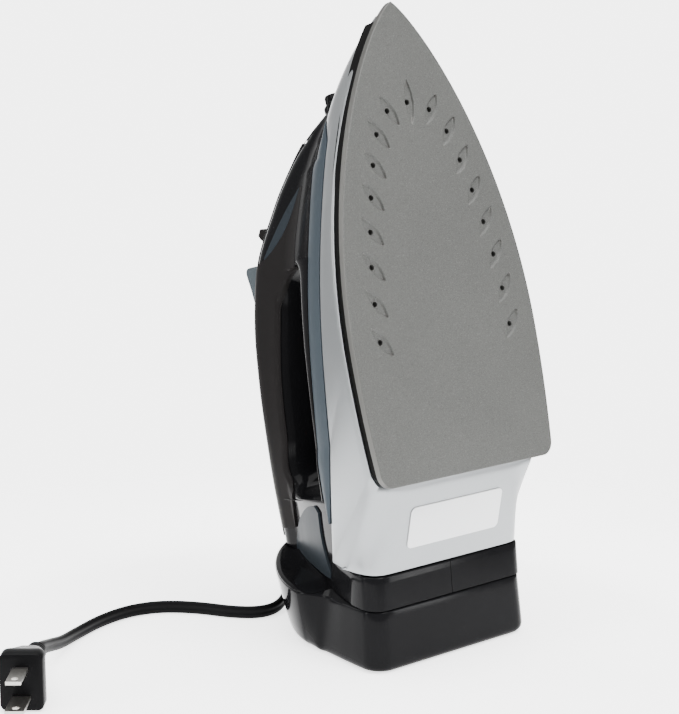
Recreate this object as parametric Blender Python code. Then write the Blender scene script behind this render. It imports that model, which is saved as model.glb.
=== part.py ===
"""Steam iron standing on its heel: every sub-part as its own closed solid.

Two frames are used.  The iron frame has x across, s along the sole towards the
nose and h as the height above the sole; its objects hang on an empty that leans
the sole by LEAN from upright.  The stand frame is the world: +Z up, the heel's
resting face at z = 0 and its centre at the origin.  Sizes below are in mm.
"""

import math

import bmesh
import bpy
import numpy as np
from mathutils import Matrix, Vector

MM = 0.001
GAP = 0.3                      # clearance kept between neighbouring pieces

# driving dimensions of the iron frame
LEAN = 15.45                   # degrees between the sole and the upright
HEEL_CENTRE = 88.0             # sole plane's floor line to the heel's centre
SOLE_HALF = 55.2               # widest half width of the sole
SOLE_WIDEST = 150.0            # station where the sole is widest
SOLE_TIP = 303.4
SOLE_BACK = 90.8
SOLE_T = 3.0                   # sole face plate thickness
SKIN = 2.0                     # wall of the moulded covers
COVER = 2.9                    # depth taken by caps and panels on the handle core

FRONT_WALL = 197.5             # front end of the finger opening
REAR_WALL = 87.6               # rear end of the finger opening
DECK = 60.0                    # height of the deck under the handle
NOSE = 273.0                   # foremost station of the black nose
GRIP_HALF = 16.0               # half width of the grip
TOP_ROUND = 13.5               # height of the grip's rounded top
BOTTOM_ROUND = 9.0             # height of the grip's rounded underside

# driving dimensions of the stand frame
BASE_TOP = 27.7                # top of the heel base
COLLAR_LOW = 28.0
COLLAR_TOP = 43.3
PART_LINE = 43.6               # the covers above the collar end here
FRONT_Y = -55.3                # front face of the heel at the floor
FRONT_RAKE = 0.117
LOBE_Y = -4.3                  # where the heel's lobe is widest

DIAL_S = 152.0
NEEDLE_S = 222.0
PUMP_S = 206.5
PUMP_X = 5.2
HINGE_S = 239.4                # station of the filling flap's hinge

COLOURS = {
    "sole": ((0.21, 0.20, 0.19), 0.55, 0.6),
    "alloy": ((0.60, 0.60, 0.60), 0.45, 0.9),
    "steel": ((0.55, 0.55, 0.56), 0.30, 1.0),
    "brass": ((0.70, 0.52, 0.25), 0.35, 1.0),
    "silver": ((0.60, 0.62, 0.62), 0.32, 0.35),
    "black": ((0.012, 0.012, 0.013), 0.10, 0.0),
    "grip": ((0.055, 0.050, 0.050), 0.42, 0.0),
    "slate": ((0.095, 0.118, 0.135), 0.38, 0.0),
    "teal": ((0.13, 0.15, 0.155), 0.42, 0.0),
    "rubber": ((0.015, 0.015, 0.015), 0.65, 0.0),
    "silicone": ((0.35, 0.10, 0.07), 0.60, 0.0),
    "clear": ((0.50, 0.55, 0.58), 0.15, 0.0),
    "red": ((0.60, 0.03, 0.02), 0.20, 0.0),
    "label": ((0.72, 0.73, 0.73), 0.45, 0.0),
    "ceramic": ((0.75, 0.73, 0.68), 0.60, 0.0),
}


# ---------------------------------------------------------------- profiles

def smooth_profile(points):
    """A smooth curve value(station) through a few design points."""
    xs, ys = (np.array(column, float) for column in zip(*sorted(points)))
    slopes = np.gradient(ys, xs)

    def value(x):
        x = float(min(max(x, xs[0]), xs[-1]))
        i = int(min(np.searchsorted(xs, x, side="right") - 1, len(xs) - 2))
        width = xs[i + 1] - xs[i]
        t = (x - xs[i]) / width
        return float(
            (1 + 2 * t) * (1 - t) ** 2 * ys[i] + t * (1 - t) ** 2 * width * slopes[i]
            + t * t * (3 - 2 * t) * ys[i + 1] + t * t * (t - 1) * width * slopes[i + 1])

    return value


ridge = smooth_profile([(69, 136), (99, 137), (121, 136.5), (145, 135), (180, 129), (207, 118),
                        (225, 104.5), (237, 94.5), (257, 70), (267, 50), (273, 37)])
underside = smooth_profile([(88, 94), (91, 102), (97, 107), (119, 106), (150, 102), (172, 96),
                            (186, 91), (194, 85), (197.5, 78)])


def clamp01(t):
    return min(max(t, 0.0), 1.0)


def smoothstep(low, high, x):
    t = clamp01((x - low) / (high - low))
    return t * t * (3 - 2 * t)


def round_over(t):
    """Quarter-round fraction: 0 at the edge, 1 once past the radius."""
    return math.sqrt(1 - (1 - clamp01(t)) ** 2)


def sole_half(s):
    """Half width of the sole's outline at a station."""
    if s > SOLE_WIDEST:
        u = min((s - SOLE_WIDEST) / (SOLE_TIP - SOLE_WIDEST), 1.0)
        return SOLE_HALF * (1 - u * u) ** 0.8
    return SOLE_HALF * (1 - 0.0435 * ((SOLE_WIDEST - s) / 50) ** 2)


def silver_top(s):
    """Height of the silver cover's upper edge on the flank."""
    return 24.1 + 29.0 * (clamp01((225 - s) / 170)) ** 1.7


def band(s):
    """Share of the slate strip's full width at a station."""
    return min(clamp01((s - 76) / 30), clamp01((257 - s) / 20)) ** 0.7


def silver_half(s):
    return sole_half(s) - 7 * clamp01((s - 52) / 60)


def base_half(s):
    """Half width of the black covers where they meet the silver or slate edge."""
    if s <= 240:
        return silver_half(s) - 5 * band(s)
    t = clamp01((s - 240) / (NOSE + 1 - 240))
    return 27.4 * (1 - t * t) ** 0.8


def base_height(s):
    if s <= 240:
        return silver_top(s) + 15.5 * band(s)
    return 37.5 - 6.0 * math.sin(math.pi * clamp01((s - 240) / 34)) * 0.9


def seam(s):
    """Height of the seam between the tank and the handle's front."""
    return 66 + (235 - s) * 0.29


def cap_half(s):
    """Half width of the handle under its rounded top."""
    return GRIP_HALF - 10.0 * clamp01((s - 205) / 68) ** 1.4


def ridge_stretch(s):
    """How much longer a depth square to the ridge is when taken straight down."""
    return math.hypot(1.0, (ridge(s + 1) - ridge(s - 1)) / 2)


def handle_side(s, h, inset=0.0):
    """Half width of the handle at a station and a height, its surface moved in by inset."""
    crown = ridge(s) - inset * ridge_stretch(s)
    radius = min(TOP_ROUND, 0.9 * (ridge(s) - base_height(s)) + 0.1) - inset
    top = round_over((crown - h) / max(radius, 1.5))
    half = max(cap_half(s) - inset, 0.8)
    if s > FRONT_WALL:
        low = base_height(s)
        rise = clamp01((h - low) / max(ridge(s) - low, 1.0))
        flare = max(base_half(s) - cap_half(s), 0.0) * max(0.0, 1 - rise / 0.6) ** 1.5
        return min(half * top + flare, max(base_half(s) - inset, 0.8))
    rounding = BOTTOM_ROUND - 7.0 * smoothstep(184, 196, s)
    grip = half * min(top, round_over((h - underside(s)) / rounding))
    fall = clamp01((h + inset - 35) / (ridge(s) - 35))
    egg = max(47.3 * (1 - fall ** 1.1) ** 0.72 - inset, 0.0)
    return grip + (max(egg, grip) - grip) * smoothstep(100, REAR_WALL, s)


# ------------------------------------------------------------ mesh helpers

def material(name):
    found = bpy.data.materials.get(name)
    if found:
        return found
    colour, rough, metal = COLOURS[name]
    made = bpy.data.materials.new(name)
    made.use_nodes = True
    shader = made.node_tree.nodes["Principled BSDF"]
    shader.inputs["Base Color"].default_value = (*colour, 1.0)
    shader.inputs["Roughness"].default_value = rough
    shader.inputs["Metallic"].default_value = metal
    return made


def P(x, s, h):
    """A point of the iron frame as local metres."""
    return Vector((x, -s, h)) * MM


def Q(x, y, z):
    """A point of the stand frame in metres."""
    return Vector((x, y, z)) * MM


def new_object(name, mesh, finish, parent=None):
    made = bpy.data.objects.new(name, mesh)
    bpy.context.scene.collection.objects.link(made)
    if finish:
        mesh.materials.append(material(finish))
    made.parent = parent
    return made


def from_faces(name, points, faces, finish, parent=None):
    """A closed mesh from points in metres, its faces turned outwards."""
    bm = bmesh.new()
    verts = [bm.verts.new(p) for p in points]
    for face in faces:
        bm.faces.new([verts[i] for i in face])
    bmesh.ops.recalc_face_normals(bm, faces=bm.faces)
    bmesh.ops.triangulate(bm, faces=[f for f in bm.faces if len(f.verts) > 4])
    mesh = bpy.data.meshes.new(name)
    bm.to_mesh(mesh)
    bm.free()
    mesh.shade_smooth()
    mesh.set_sharp_from_angle(angle=math.radians(35))
    return new_object(name, mesh, finish, parent)


def loft(name, rings, finish, parent=None):
    """Closed rings joined in order, with a flat face over each end."""
    n = len(rings[0])
    points = [p for ring in rings for p in ring]
    faces = [(r * n + i, r * n + (i + 1) % n, (r + 1) * n + (i + 1) % n, (r + 1) * n + i)
             for r in range(len(rings) - 1) for i in range(n)]
    faces += [[start + i for i in range(n)] for start in (0, (len(rings) - 1) * n)]
    return from_faces(name, points, faces, finish, parent)


def ring_wall(name, sections, finish, parent=None):
    """A wall that runs right round: closed sections joined into a loop."""
    n, m = len(sections[0]), len(sections)
    points = [p for section in sections for p in section]
    faces = [(r * n + i, r * n + (i + 1) % n, (r + 1) % m * n + (i + 1) % n, (r + 1) % m * n + i)
             for r in range(m) for i in range(n)]
    return from_faces(name, points, faces, finish, parent)


def patch(name, outer, inner, finish, parent=None):
    """A thin cover between two grids of points of the same size."""
    rows, cols = len(outer), len(outer[0])
    points = [p for grid in (outer, inner) for row in grid for p in row]

    def at(side, r, c):
        return side * rows * cols + r * cols + c

    faces = []
    for side in (0, 1):
        for r in range(rows - 1):
            for c in range(cols - 1):
                faces.append((at(side, r, c), at(side, r, c + 1), at(side, r + 1, c + 1), at(side, r + 1, c)))
    edge = [(0, c) for c in range(cols - 1)] + [(r, cols - 1) for r in range(rows - 1)]
    edge += [(rows - 1, c) for c in range(cols - 1, 0, -1)] + [(r, 0) for r in range(rows - 1, 0, -1)]
    for k, (r, c) in enumerate(edge):
        r2, c2 = edge[(k + 1) % len(edge)]
        faces.append((at(0, r, c), at(0, r2, c2), at(1, r2, c2), at(1, r, c)))
    return from_faces(name, points, faces, finish, parent)


def rod(name, start, end, radius, finish, parent=None, sides=16, end_radius=None, bore=0.0):
    """A round rod or sleeve between two points in metres."""
    axis = end - start
    turn = axis.to_track_quat("Z", "Y").to_matrix()

    def ring(centre, r):
        return [centre + turn @ Vector((math.cos(a), math.sin(a), 0)) * (r * MM)
                for a in (2 * math.pi * i / sides for i in range(sides))]

    far = radius if end_radius is None else end_radius
    if not bore:
        return loft(name, [ring(start, radius), ring(end, far)], finish, parent)
    sections = list(zip(ring(start, radius), ring(end, far), ring(end, bore), ring(start, bore)))
    return ring_wall(name, sections, finish, parent)


def block(name, corners, finish, parent=None):
    """A prism: four lower corners then four upper ones, in metres."""
    return loft(name, [corners[:4], corners[4:]], finish, parent)


def box(name, place, low, high, finish, parent=None):
    (x0, y0, z0), (x1, y1, z1) = low, high
    corners = [place(x, y, z) for z in (z0, z1) for x, y in ((x0, y0), (x1, y0), (x1, y1), (x0, y1))]
    return block(name, corners, finish, parent)


def slab(name, outline, low, high, finish, parent=None):
    """A plate of the iron frame: an (x, s) outline between two heights."""
    return loft(name, [[P(x, s, h) for x, s in outline] for h in (low, high)], finish, parent)


def boolean(target, tool, operation):
    """Cut or join with a tool that is itself left out of the model."""
    tool.hide_render = True
    tool.display_type = "WIRE"
    change = target.modifiers.new(tool.name, "BOOLEAN")
    change.operation = operation
    change.object = tool
    return target


def cut(target, *tools):
    for tool in tools:
        boolean(target, tool, "DIFFERENCE")
    return target


def join(target, *tools):
    for tool in tools:
        boolean(target, tool, "UNION")
    return target


def outline_inset(inset, back, tip, steps=15, corner=6.0):
    """The sole's outline moved inwards, with rounded rear corners."""
    flank = [(sole_half(s) * (1 - inset / SOLE_HALF) - 0.4 * inset * clamp01((s - 230) / 70), s)
             for s in (back + corner + (tip - back - corner) * math.sin(0.5 * math.pi * i / steps)
                       for i in range(steps))]
    half = flank[0][0]
    arc = [(half - corner + corner * math.sin(a), back + corner - corner * math.cos(a))
           for a in (math.pi / 8 * k for k in range(4))]
    right = arc + flank
    return right + [(0.0, tip)] + [(-x, s) for x, s in reversed(right)]


# ------------------------------------------------------------ sole and heat

def vent_places():
    """The chevron of steam vents: (x, s, angle of its recess)."""
    places = [(0.0, 257.7, 0.0)]
    for k in range(8):
        run = k / 7
        x = 12.6 + 26.9 * math.sin(0.5 * math.pi * run ** 0.72)
        s = 254.0 - 100.8 * run ** 1.08
        places += [(x, s, -0.5), (-x, s, 0.5)]
    return places


def vent_cutter(parent):
    """All vents as one tool: a bore with a shallow lens-shaped recess."""
    points, faces = [], []
    sides = 10
    for x, s, turn in vent_places():
        start = len(points)
        spin = Matrix.Rotation(turn, 2)
        half_long = 8.5 if x == 0 else 6.5
        lens = [spin @ Vector((2.6 * math.sin(a) * abs(math.sin(a)) ** 0.4, half_long * math.cos(a)))
                for a in (2 * math.pi * i / sides for i in range(sides))]
        hole = [Vector((1.2 * math.sin(a), 1.2 * math.cos(a))) for a in (2 * math.pi * i / sides for i in range(sides))]
        levels = ((lens, -1.0, 1.0), (lens, 0.0, 1.0), (lens, 0.5, 0.45), (hole, 0.55, 1.0), (hole, 5.0, 1.0))
        for shape, h, size in levels:
            points += [P(x + v.x * size, s + v.y * size, h) for v in shape]
        for r in range(len(levels) - 1):
            faces += [(start + r * sides + i, start + r * sides + (i + 1) % sides,
                       start + (r + 1) * sides + (i + 1) % sides, start + (r + 1) * sides + i)
                      for i in range(sides)]
        faces.append([start + i for i in range(sides)])
        faces.append([start + 4 * sides + i for i in range(sides)])
    return from_faces("vent_tool", points, faces, None, parent)


def make_sole(stance):
    sole = slab("soleplate", outline_inset(0.0, SOLE_BACK, SOLE_TIP, 17), 0.0, SOLE_T, "sole", stance)
    cut(sole, vent_cutter(stance))


def u_path(half, back, front, turn_points=9):
    """The heater's U: two straight legs and a round bend at the nose."""
    bend = [(half * math.cos(a), front + half * 1.6 * math.sin(a))
            for a in (math.pi * i / (turn_points - 1) for i in range(turn_points))]
    return [(half + 4, back)] + bend + [(-half - 4, back)]


def swept(name, path, radius, finish, parent, sides=8):
    """A round bar carried along points in metres."""
    rings = []
    for i, point in enumerate(path):
        ahead = path[min(i + 1, len(path) - 1)] - path[max(i - 1, 0)]
        turn = ahead.to_track_quat("Z", "Y").to_matrix()
        rings.append([point + turn @ Vector((math.cos(a), math.sin(a), 0)) * (radius * MM)
                      for a in (2 * math.pi * k / sides for k in range(sides))])
    return loft(name, rings, finish, parent)


def make_heating(stance):
    casting = slab("heater_casting", outline_inset(11.0, 98.0, 276.0, 10), 3.3, 9.5, "alloy", stance)
    path = u_path(27, 104, 226)
    groove = swept("groove_tool", [P(x, s, 9.6) for x, s in [(31.55, 87.2)] + path[1:-1] + [(-31.55, 87.2)]],
                   3.9, None, stance)
    pocket = slab("pocket_tool", outline_inset(33.0, 150.0, 250.0, 6), 6.0, 12.0, None, stance)
    cut(casting, groove, pocket)
    swept("heating_element", [P(x, s, 9.6) for x, s in path], 3.3, "steel", stance)
    seal = outline_inset(32.0, 148.0, 252.0, 6)
    ring = [(P(x, s, 9.8), P(x, s, 10.8), P(x * 0.86, 200 + (s - 200) * 0.93, 10.8),
             P(x * 0.86, 200 + (s - 200) * 0.93, 9.8)) for x, s in seal]
    ring_wall("chamber_gasket", ring, "silicone", stance)
    slab("chamber_cover", outline_inset(31.5, 146.0, 253.0, 6), 11.1, 12.6, "alloy", stance)
    box("thermostat", P, (-15, 128, 12.9), (15, 144, 17.6), "ceramic", stance)
    rod("thermal_fuse", P(-14, 118, 12.0), P(14, 118, 12.0), 2.2, "steel", stance, 10)
    shield = slab("heat_shield", outline_inset(16.0, 86.0, 260.0, 8), 20.2, 21.4, "alloy", stance)
    cut(shield, rod("shield_hole_tool", P(0, DIAL_S, 15), P(0, DIAL_S, 30), 7.6, None, stance),
        rod("seat_hole_tool", P(0, NEEDLE_S, 15), P(0, NEEDLE_S, 30), 4.3, None, stance, 12))
    skirt = [(a, b) for a, b in zip(outline_inset(4.0, 93.5, 296.0, 12), outline_inset(7.0, 97.0, 291.0, 12))]
    ring_wall("skirt_gasket", [(P(*a, 3.3), P(*a, 7.4), P(*b, 7.4), P(*b, 3.3)) for a, b in skirt],
              "rubber", stance)


# ------------------------------------------------------ silver and slate

def silver_rim(s):
    """Half width and height of the silver cover's upper edge, rising to meet the nose."""
    mix = smoothstep(244, 262, s)
    return (silver_half(s) * (1 - mix) + (base_half(s) + 0.6) * mix,
            silver_top(s) * (1 - mix) + base_height(s) * mix)


def rim_station(i):
    """Stations of the rim, close together round the nose."""
    return NOSE + 1.2 - (NOSE + 1.2 - 59.0) * (1 - math.cos(0.5 * math.pi * i / 15))


def silver_edges():
    """Lower and upper edge of the silver cover, nose to rear centre, right side."""
    steps = 15
    lower, upper = [], []
    for i in range(steps + 1):
        s_low = 300.0 - (300.0 - 97.0) * (1 - math.cos(0.5 * math.pi * i / steps))
        lower.append(((sole_half(s_low) - 3.2) * (1 if i else 0), s_low, 8.0))
        x, h = silver_rim(rim_station(i))
        upper.append((x * (1 if i else 0), rim_station(i), h))
    corner = [(sole_half(91) - 4.4, 91.2), (sole_half(91) - 9, 89.4), (20.0, 89.0), (0.0, 89.0)]
    lower += [(x, s, 7.6) for x, s in corner]
    drop = [(46.2, 46.0), (46.8, 33.0), (42.0, 25.2), (20.0, 24.8), (0.0, 24.8)]
    upper[-1] = (drop[0][0], part_line_s(drop[0][1]), drop[0][1])
    upper += [(x, part_line_s(h), h) for x, h in drop[1:]]
    return lower, upper


def part_line_s(h):
    """Station of the parting line at a height: a level plane of the stand frame."""
    lean = math.radians(LEAN)
    return (PART_LINE + h * math.sin(lean)) / math.cos(lean)


def pulled_in(points, depth):
    """Points of a half loop moved inwards in plan by a wall's thickness."""
    moved = []
    for i, (x, s, h) in enumerate(points):
        before, after = points[max(i - 1, 0)], points[min(i + 1, len(points) - 1)]
        along = Vector((after[0] - before[0], after[1] - before[1]))
        normal = Vector((along.y, -along.x)).normalized() if along.length > 1e-6 else Vector((-1, 0))
        if i == 0:
            normal = Vector((0, -1))
        if i == len(points) - 1:
            normal = Vector((0, 1))
        moved.append((max(x + normal.x * depth, 0.0) if i else 0.0, s + normal.y * depth, h))
    return moved


def make_silver(stance):
    lower, upper = silver_edges()
    lower_in, upper_in = pulled_in(lower, SKIN), pulled_in(upper, SKIN)
    sections = []
    for a, b, c, d in zip(lower, upper, upper_in, lower_in):
        middle = [(p + q) / 2 for p, q in zip(a, b)]
        bulge = 1.0 if middle[0] else 0.0
        sections.append([(a[0], a[1], a[2]), (middle[0] + bulge, middle[1], middle[2]), b, c,
                         (max(middle[0] + bulge - SKIN, 0), middle[1] + (d[1] - a[1] + c[1] - b[1]) / 2, middle[2]), d])
    left = [[(-x, s, h) for x, s, h in section] for section in reversed(sections[1:-1])]
    ring_wall("metal_skirt", [[P(*p) for p in section] for section in sections + left], "silver", stance)
    make_label(stance)


def make_label(stance):
    """A blank rating plate on the sloping rear face."""
    slope = Vector((0, 52.2 - 89.0, 24.8 - 7.6)).normalized()
    out = Vector((0, -slope.z, slope.y)) * -1
    base = Vector((0, 71.0, 7.6 + (89.0 - 71.0) * (24.8 - 7.6) / (89.0 - 52.2)))
    out = -out if out.y > 0 else out
    corners = []
    for lift in (0.3, 0.7):
        for x, run in ((-28, -10), (27, -10), (27, 10), (-28, 10)):
            corners.append(P(*(base + Vector((x, 0, 0)) + slope * run + out * lift)))
    block("rating_plate", corners, "label", stance)


def make_slate_strips(stance):
    stations = (79, 84, 90, 95, 101, 106, 115, 125, 135, 145, 155, 165, 175, 185, 196, 206,
                *[rim_station(i) for i in (7, 6, 5, 4)])
    for side, name in ((-1, "side_strip_left"), (1, "side_strip_right")):
        outer, inner = [], []
        for s in stations:
            low_x, low_h = silver_rim(s)
            low_h += 0.8
            high_x, high_h = base_half(s), base_height(s) - 0.6
            row = [(low_x + (high_x - low_x) * t, low_h + (high_h - low_h) * t) for t in (0, 0.5, 1)]
            outer.append([P(side * x, s, h) for x, h in row])
            inner.append([P(side * (x - SKIN), s, h) for x, h in row])
        patch(name, outer, inner, "slate", stance)


# ------------------------------------------------------------------- tank

def tank_section(s, inset, floor, step=FRONT_WALL):
    """Cross-section of the tank cover: sides up to the deck, or past the step to the seam."""
    low = base_height(s) + GAP + 0.9 * smoothstep(255, 268, s)
    wide = base_half(s) - inset
    points = []
    if s < step:
        top = DECK - inset
        for k in range(9):
            a = 0.5 * math.pi * k / 8
            points.append((wide * math.cos(a) ** 0.8, low + (top - low) * math.sin(a) ** 0.8))
    else:
        top = seam(s) - GAP - inset
        top = max(min(top, ridge(s) - GAP - inset), low + 1.0)
        for k in range(7):
            h = low + (top - low) * k / 6
            points.append((max(handle_side(s, h) - inset, 0.8), h))
        points += [(points[-1][0] * 0.5, top), (0.0, top)]
    if floor is not None:
        points[0] = (points[0][0], floor)
    right = points
    return [P(x, s, h) for x, h in right] + [P(-x, s, h) for x, h in reversed(right[:-1])]


def make_tank(stance):
    stations = [88.2, 95, 101, 106, 115, 125, 140, 155, 170, 185, 196.8, 198.2, 206, 214, 222, 230, 238, 246, 254, 260, 266, 271]
    cover = loft("tank_cover", [tank_section(s, 0.0, None) for s in stations], "black", stance)
    inner = [90.4, 110, 125, 140, 155, 170, 185, 199.4, 200.8, 206, 214, 222, 230, 238, 246, 254, 262]
    hollow = loft("tank_hollow_tool", [tank_section(s, 2.2, 12.0, 200.0) for s in inner], None, stance)
    tools = [hollow,
             rod("dial_hole_tool", P(0, DIAL_S, 50), P(0, DIAL_S, 70), 7.4, None, stance, 20),
             rod("fill_hole_tool", P(0, 245, 50), P(0, 249, 72), 5.6, None, stance, 14),
             rod("needle_hole_tool", P(0, NEEDLE_S, 60), P(0, NEEDLE_S, 76), 2.4, None, stance, 10),
             rod("lens_hole_tool", P(0, 108, 50), P(0, 108, 70), 3.4, None, stance, 12),
             rod("nozzle_hole_tool", P(0, 258, 48.6), P(0, 282, 53.0), 4.7, None, stance, 14)]
    tools += [rod(f"pump_hole_tool_{k}", P(x, PUMP_S, 60), P(x, PUMP_S, 80), 1.9, None, stance, 10)
              for k, x in enumerate((-PUMP_X, PUMP_X))]
    cut(cover, *tools)
    tray = slab("tank_tray", outline_inset(19.0, 97.0, 246.0, 9), 22.6, 33.0, "clear", stance)
    cut(tray, slab("tray_hollow_tool", outline_inset(21.0, 99.0, 242.5, 9), 24.6, 40.0, None, stance))
    cut(tray, rod("sleeve_bore_tool", P(0, DIAL_S, 20), P(0, DIAL_S, 30), 5.6, None, stance, 16),
        rod("seat_bore_tool", P(0, NEEDLE_S, 20), P(0, NEEDLE_S, 30), 4.3, None, stance, 12))
    join(tray, rod("sleeve_tool", P(0, DIAL_S, 23.0), P(0, DIAL_S, 57.0), 6.9, None, stance, 16, bore=4.6))
    seal = list(zip(outline_inset(19.0, 97.2, 245.8, 9), outline_inset(20.8, 98.8, 243.0, 9)))
    ring_wall("tank_seal", [(P(*a, 33.3), P(*a, 35.0), P(*b, 35.0), P(*b, 33.3)) for a, b in seal],
              "silicone", stance)
    rod("fill_funnel", P(0, 247.4, 62.0), P(0, 244.6, 47.0), 5.2, "clear", stance, 14, bore=3.9)
    rod("pilot_lens", P(0, 108, 57.6), P(0, 108, 61.2), 3.0, "red", stance, 12)
    tubes = rod("pump_tubes", P(-PUMP_X, PUMP_S, 69.2), P(-PUMP_X, PUMP_S, 27.0), 1.5, "clear", stance, 10)
    join(tubes, rod("tube_tool", P(PUMP_X, PUMP_S, 69.2), P(PUMP_X, PUMP_S, 27.0), 1.5, None, stance, 10),
         rod("tube_bridge_tool", P(-PUMP_X, PUMP_S, 30.0), P(PUMP_X, PUMP_S, 30.0), 1.3, None, stance, 8))


def make_steam_valve(stance):
    rod("valve_seat", P(0, NEEDLE_S, 13.0), P(0, NEEDLE_S, 26.4), 3.9, "brass", stance, 12, bore=1.6)
    needle = rod("steam_needle", P(0, NEEDLE_S, 22.0), P(0, NEEDLE_S, 98.0), 1.2, "brass", stance, 10)
    return needle


# ------------------------------------------------------- temperature dial

def make_dial(stance):
    """A knurled disc on a flat-sided spindle, turning about the sole's normal."""
    hub = bpy.data.objects.new("dial_axis", None)
    bpy.context.scene.collection.objects.link(hub)
    hub.parent = stance
    hub.location = P(0, DIAL_S, 0)
    teeth = 36

    def local_ring(radius, h, wave=0.0):
        return [Vector((math.cos(a), math.sin(a), 0)) * ((radius + (wave if k % 2 else 0)) * MM)
                + Vector((0, 0, h * MM)) for k, a in ((k, 2 * math.pi * k / teeth) for k in range(teeth))]

    rings = [local_ring(22.5, 60.9), local_ring(24.0, 61.6, -0.6), local_ring(24.0, 66.4, -0.6),
             local_ring(22.8, 68.0), local_ring(18.0, 68.4), local_ring(16.5, 67.2), local_ring(5.0, 67.0)]
    disc = loft("temperature_dial", rings, "black", hub)
    grip = Vector((0, -9.0, 0)) * MM
    bar = [grip + Vector((x, y, z)) * MM for z in (66.8, 72.0)
           for x, y in ((-2.2, -8.0), (2.2, -8.0), (2.2, 18.0), (-2.2, 18.0))]
    join(disc, block("dial_bar_tool", bar, None, hub))
    rod("dial_spindle", Vector((0, 0, 18.2 * MM)), Vector((0, 0, 60.5 * MM)), 3.6, "steel", hub, 14)


# ------------------------------------------------------------------ handle

GRIP_RUN = (72, 76, 80, 84, 87.2, 88.4, 91, 95, 99, 104, 111, 118, 126, 135, 144, 152, 160, 168, 174, 180,
            184, 188, 191, 194, 197.2)
FRONT_RUN = (198.6, 202, 205, 208, 211, 215, 220, 225, 230, 233, 238, 244, 250, 257)


def handle_bottom(s):
    if s > FRONT_WALL:
        return min(seam(s) + GAP, ridge(s) - 3.5)
    if s < REAR_WALL + 0.3:
        return base_height(s)
    return underside(s)


def handle_section(s, inset, lift, open_top=0.0):
    """Ring of the handle at a station, moved in by inset, up by lift, its top raised or not."""
    low, crown = handle_bottom(s) + lift, ridge(s) - inset * ridge_stretch(s)
    high = crown + open_top
    points = [(0.0, low)]
    for k in range(12):
        h = low + (high - low) * (0.5 - 0.5 * math.cos(math.pi * k / 11))
        level = min(max(h, handle_bottom(s) + 0.3), crown - (4.0 if open_top else 0.2))
        points.append((max(handle_side(s, level, inset), 0.7), h))
    points.append((0.0, high))
    return [P(x, s, h) for x, h in points] + [P(-x, s, h) for x, h in reversed(points[1:-1])]


def floor_plane_tool():
    """Everything below the covers' parting line, as one shared tool."""
    made = bpy.data.objects.get("floor_plane_tool")
    return made or box("floor_plane_tool", Q, (-90, -120, -30), (90, 120, PART_LINE), None)


def make_handle_core(stance):
    core = loft("handle_core", [handle_section(s, COVER, 0.0) for s in (56, 64, *GRIP_RUN, *FRONT_RUN[:-1])],
                "black", stance)
    grip_way = loft("grip_way_tool", [handle_section(s, COVER + 2.2, 2.6, 8.0)
                                      for s in (94, 99, 104, 111, 126, 144, 160, 174, 184, 190)], None, stance)
    front_way = box("front_way_tool", P, (-10.1, 200.5, 55), (10.1, 229, 122), None, stance)
    column = loft("column_tool", [handle_section(s, COVER + 2.2, -12.0, -4.0)
                                  for s in (50, 60, 68, 76, 85.2)], None, stance)
    wire_way = rod("wire_way_tool", P(0, 80, 118), P(0, 99, 118), 4.0, None, stance, 12)
    button_bay = box("button_bay_tool", P, (-9.8, 181.0, 98), (9.8, 212.6, 140), None, stance)
    flap_bay = box("flap_bay_tool", P, (-6.7, 236.8, 50), (6.7, 256.6, 110), None, stance)
    cut(core, grip_way, front_way, column, wire_way, button_bay, flap_bay, floor_plane_tool())


def make_cap(stance):
    """The glossy strip along the handle's top, nose to heel, with its cut-outs."""
    stations = [61, 66] + [s for s in (*GRIP_RUN, *FRONT_RUN) if s not in (87.2, 91, 197.2)]
    outer, inner = [], []
    for s in stations:
        reach, height = 0.78 * cap_half(s), min(TOP_ROUND, 0.9 * (ridge(s) - base_height(s)) + 0.1)
        row = [(reach * t, ridge(s) - height * (1 - math.sqrt(1 - (0.78 * t) ** 2))) for t in
               (-1, -0.66, -0.33, 0, 0.33, 0.66, 1)]
        slope, stretch = (ridge(s + 1) - ridge(s - 1)) / 2, ridge_stretch(s)
        outer.append([P(x, s, h) for x, h in row])
        inner.append([P(x * 0.97, s + slope * SKIN / stretch, h - SKIN / stretch) for x, h in row])
    cap = patch("handle_cap", outer, inner, "black", stance)
    cut(cap, box("button_hole_tool", P, (-10.0, 181.2, 100), (10.0, 205.2, 140), None, stance),
        box("slider_slot_tool", P, (-2.2, 209.5, 95), (2.2, 222.5, 130), None, stance),
        box("fill_flap_tool", P, (-6.5, 237.6, 60), (6.5, 256.2, 110), None, stance),
        floor_plane_tool())


def side_patch(name, side, stations, low, high, finish, parent, rows=7, depth=1.3):
    """A cover on the handle's flank between two height lines."""
    outer, inner = [], []
    for s in stations:
        a, b = low(s), high(s)
        heights = [a + (b - a) * (k / (rows - 1)) ** 1.4 for k in range(rows)]
        outer.append([P(side * handle_side(s, h), s, h) for h in heights])
        inner.append([P(side * (handle_side(s, h) - depth), s, h) for h in heights])
    return cut(patch(name, outer, inner, finish, parent), floor_plane_tool())


def panel_low(s):
    if s > FRONT_WALL:
        return seam(s) + 0.6
    if s > 90:
        return underside(s) + 1.2 + 4.8 * smoothstep(196, 182, s)
    return underside(90) + 6.0 + (90 - s) * 0.5


def insert_low(s):
    """Lower edge of the front insert: a bowed line from apex to tip."""
    run = clamp01((234.5 - s) / 30)
    return 69.6 + 22.0 * run + 13.4 * run ** 4


def insert_high(s):
    run = clamp01((234.5 - s) / 30)
    return 69.6 + 35.4 * run ** 0.83


def panel_high(s):
    edge = ridge(s) - 7.6
    if 206 < s:
        return max(min(edge, insert_low(s) - 0.5), panel_low(s) + 0.6)
    return edge


def rear_low(s):
    return 62 + 12 * smoothstep(62, 86, s)


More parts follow.
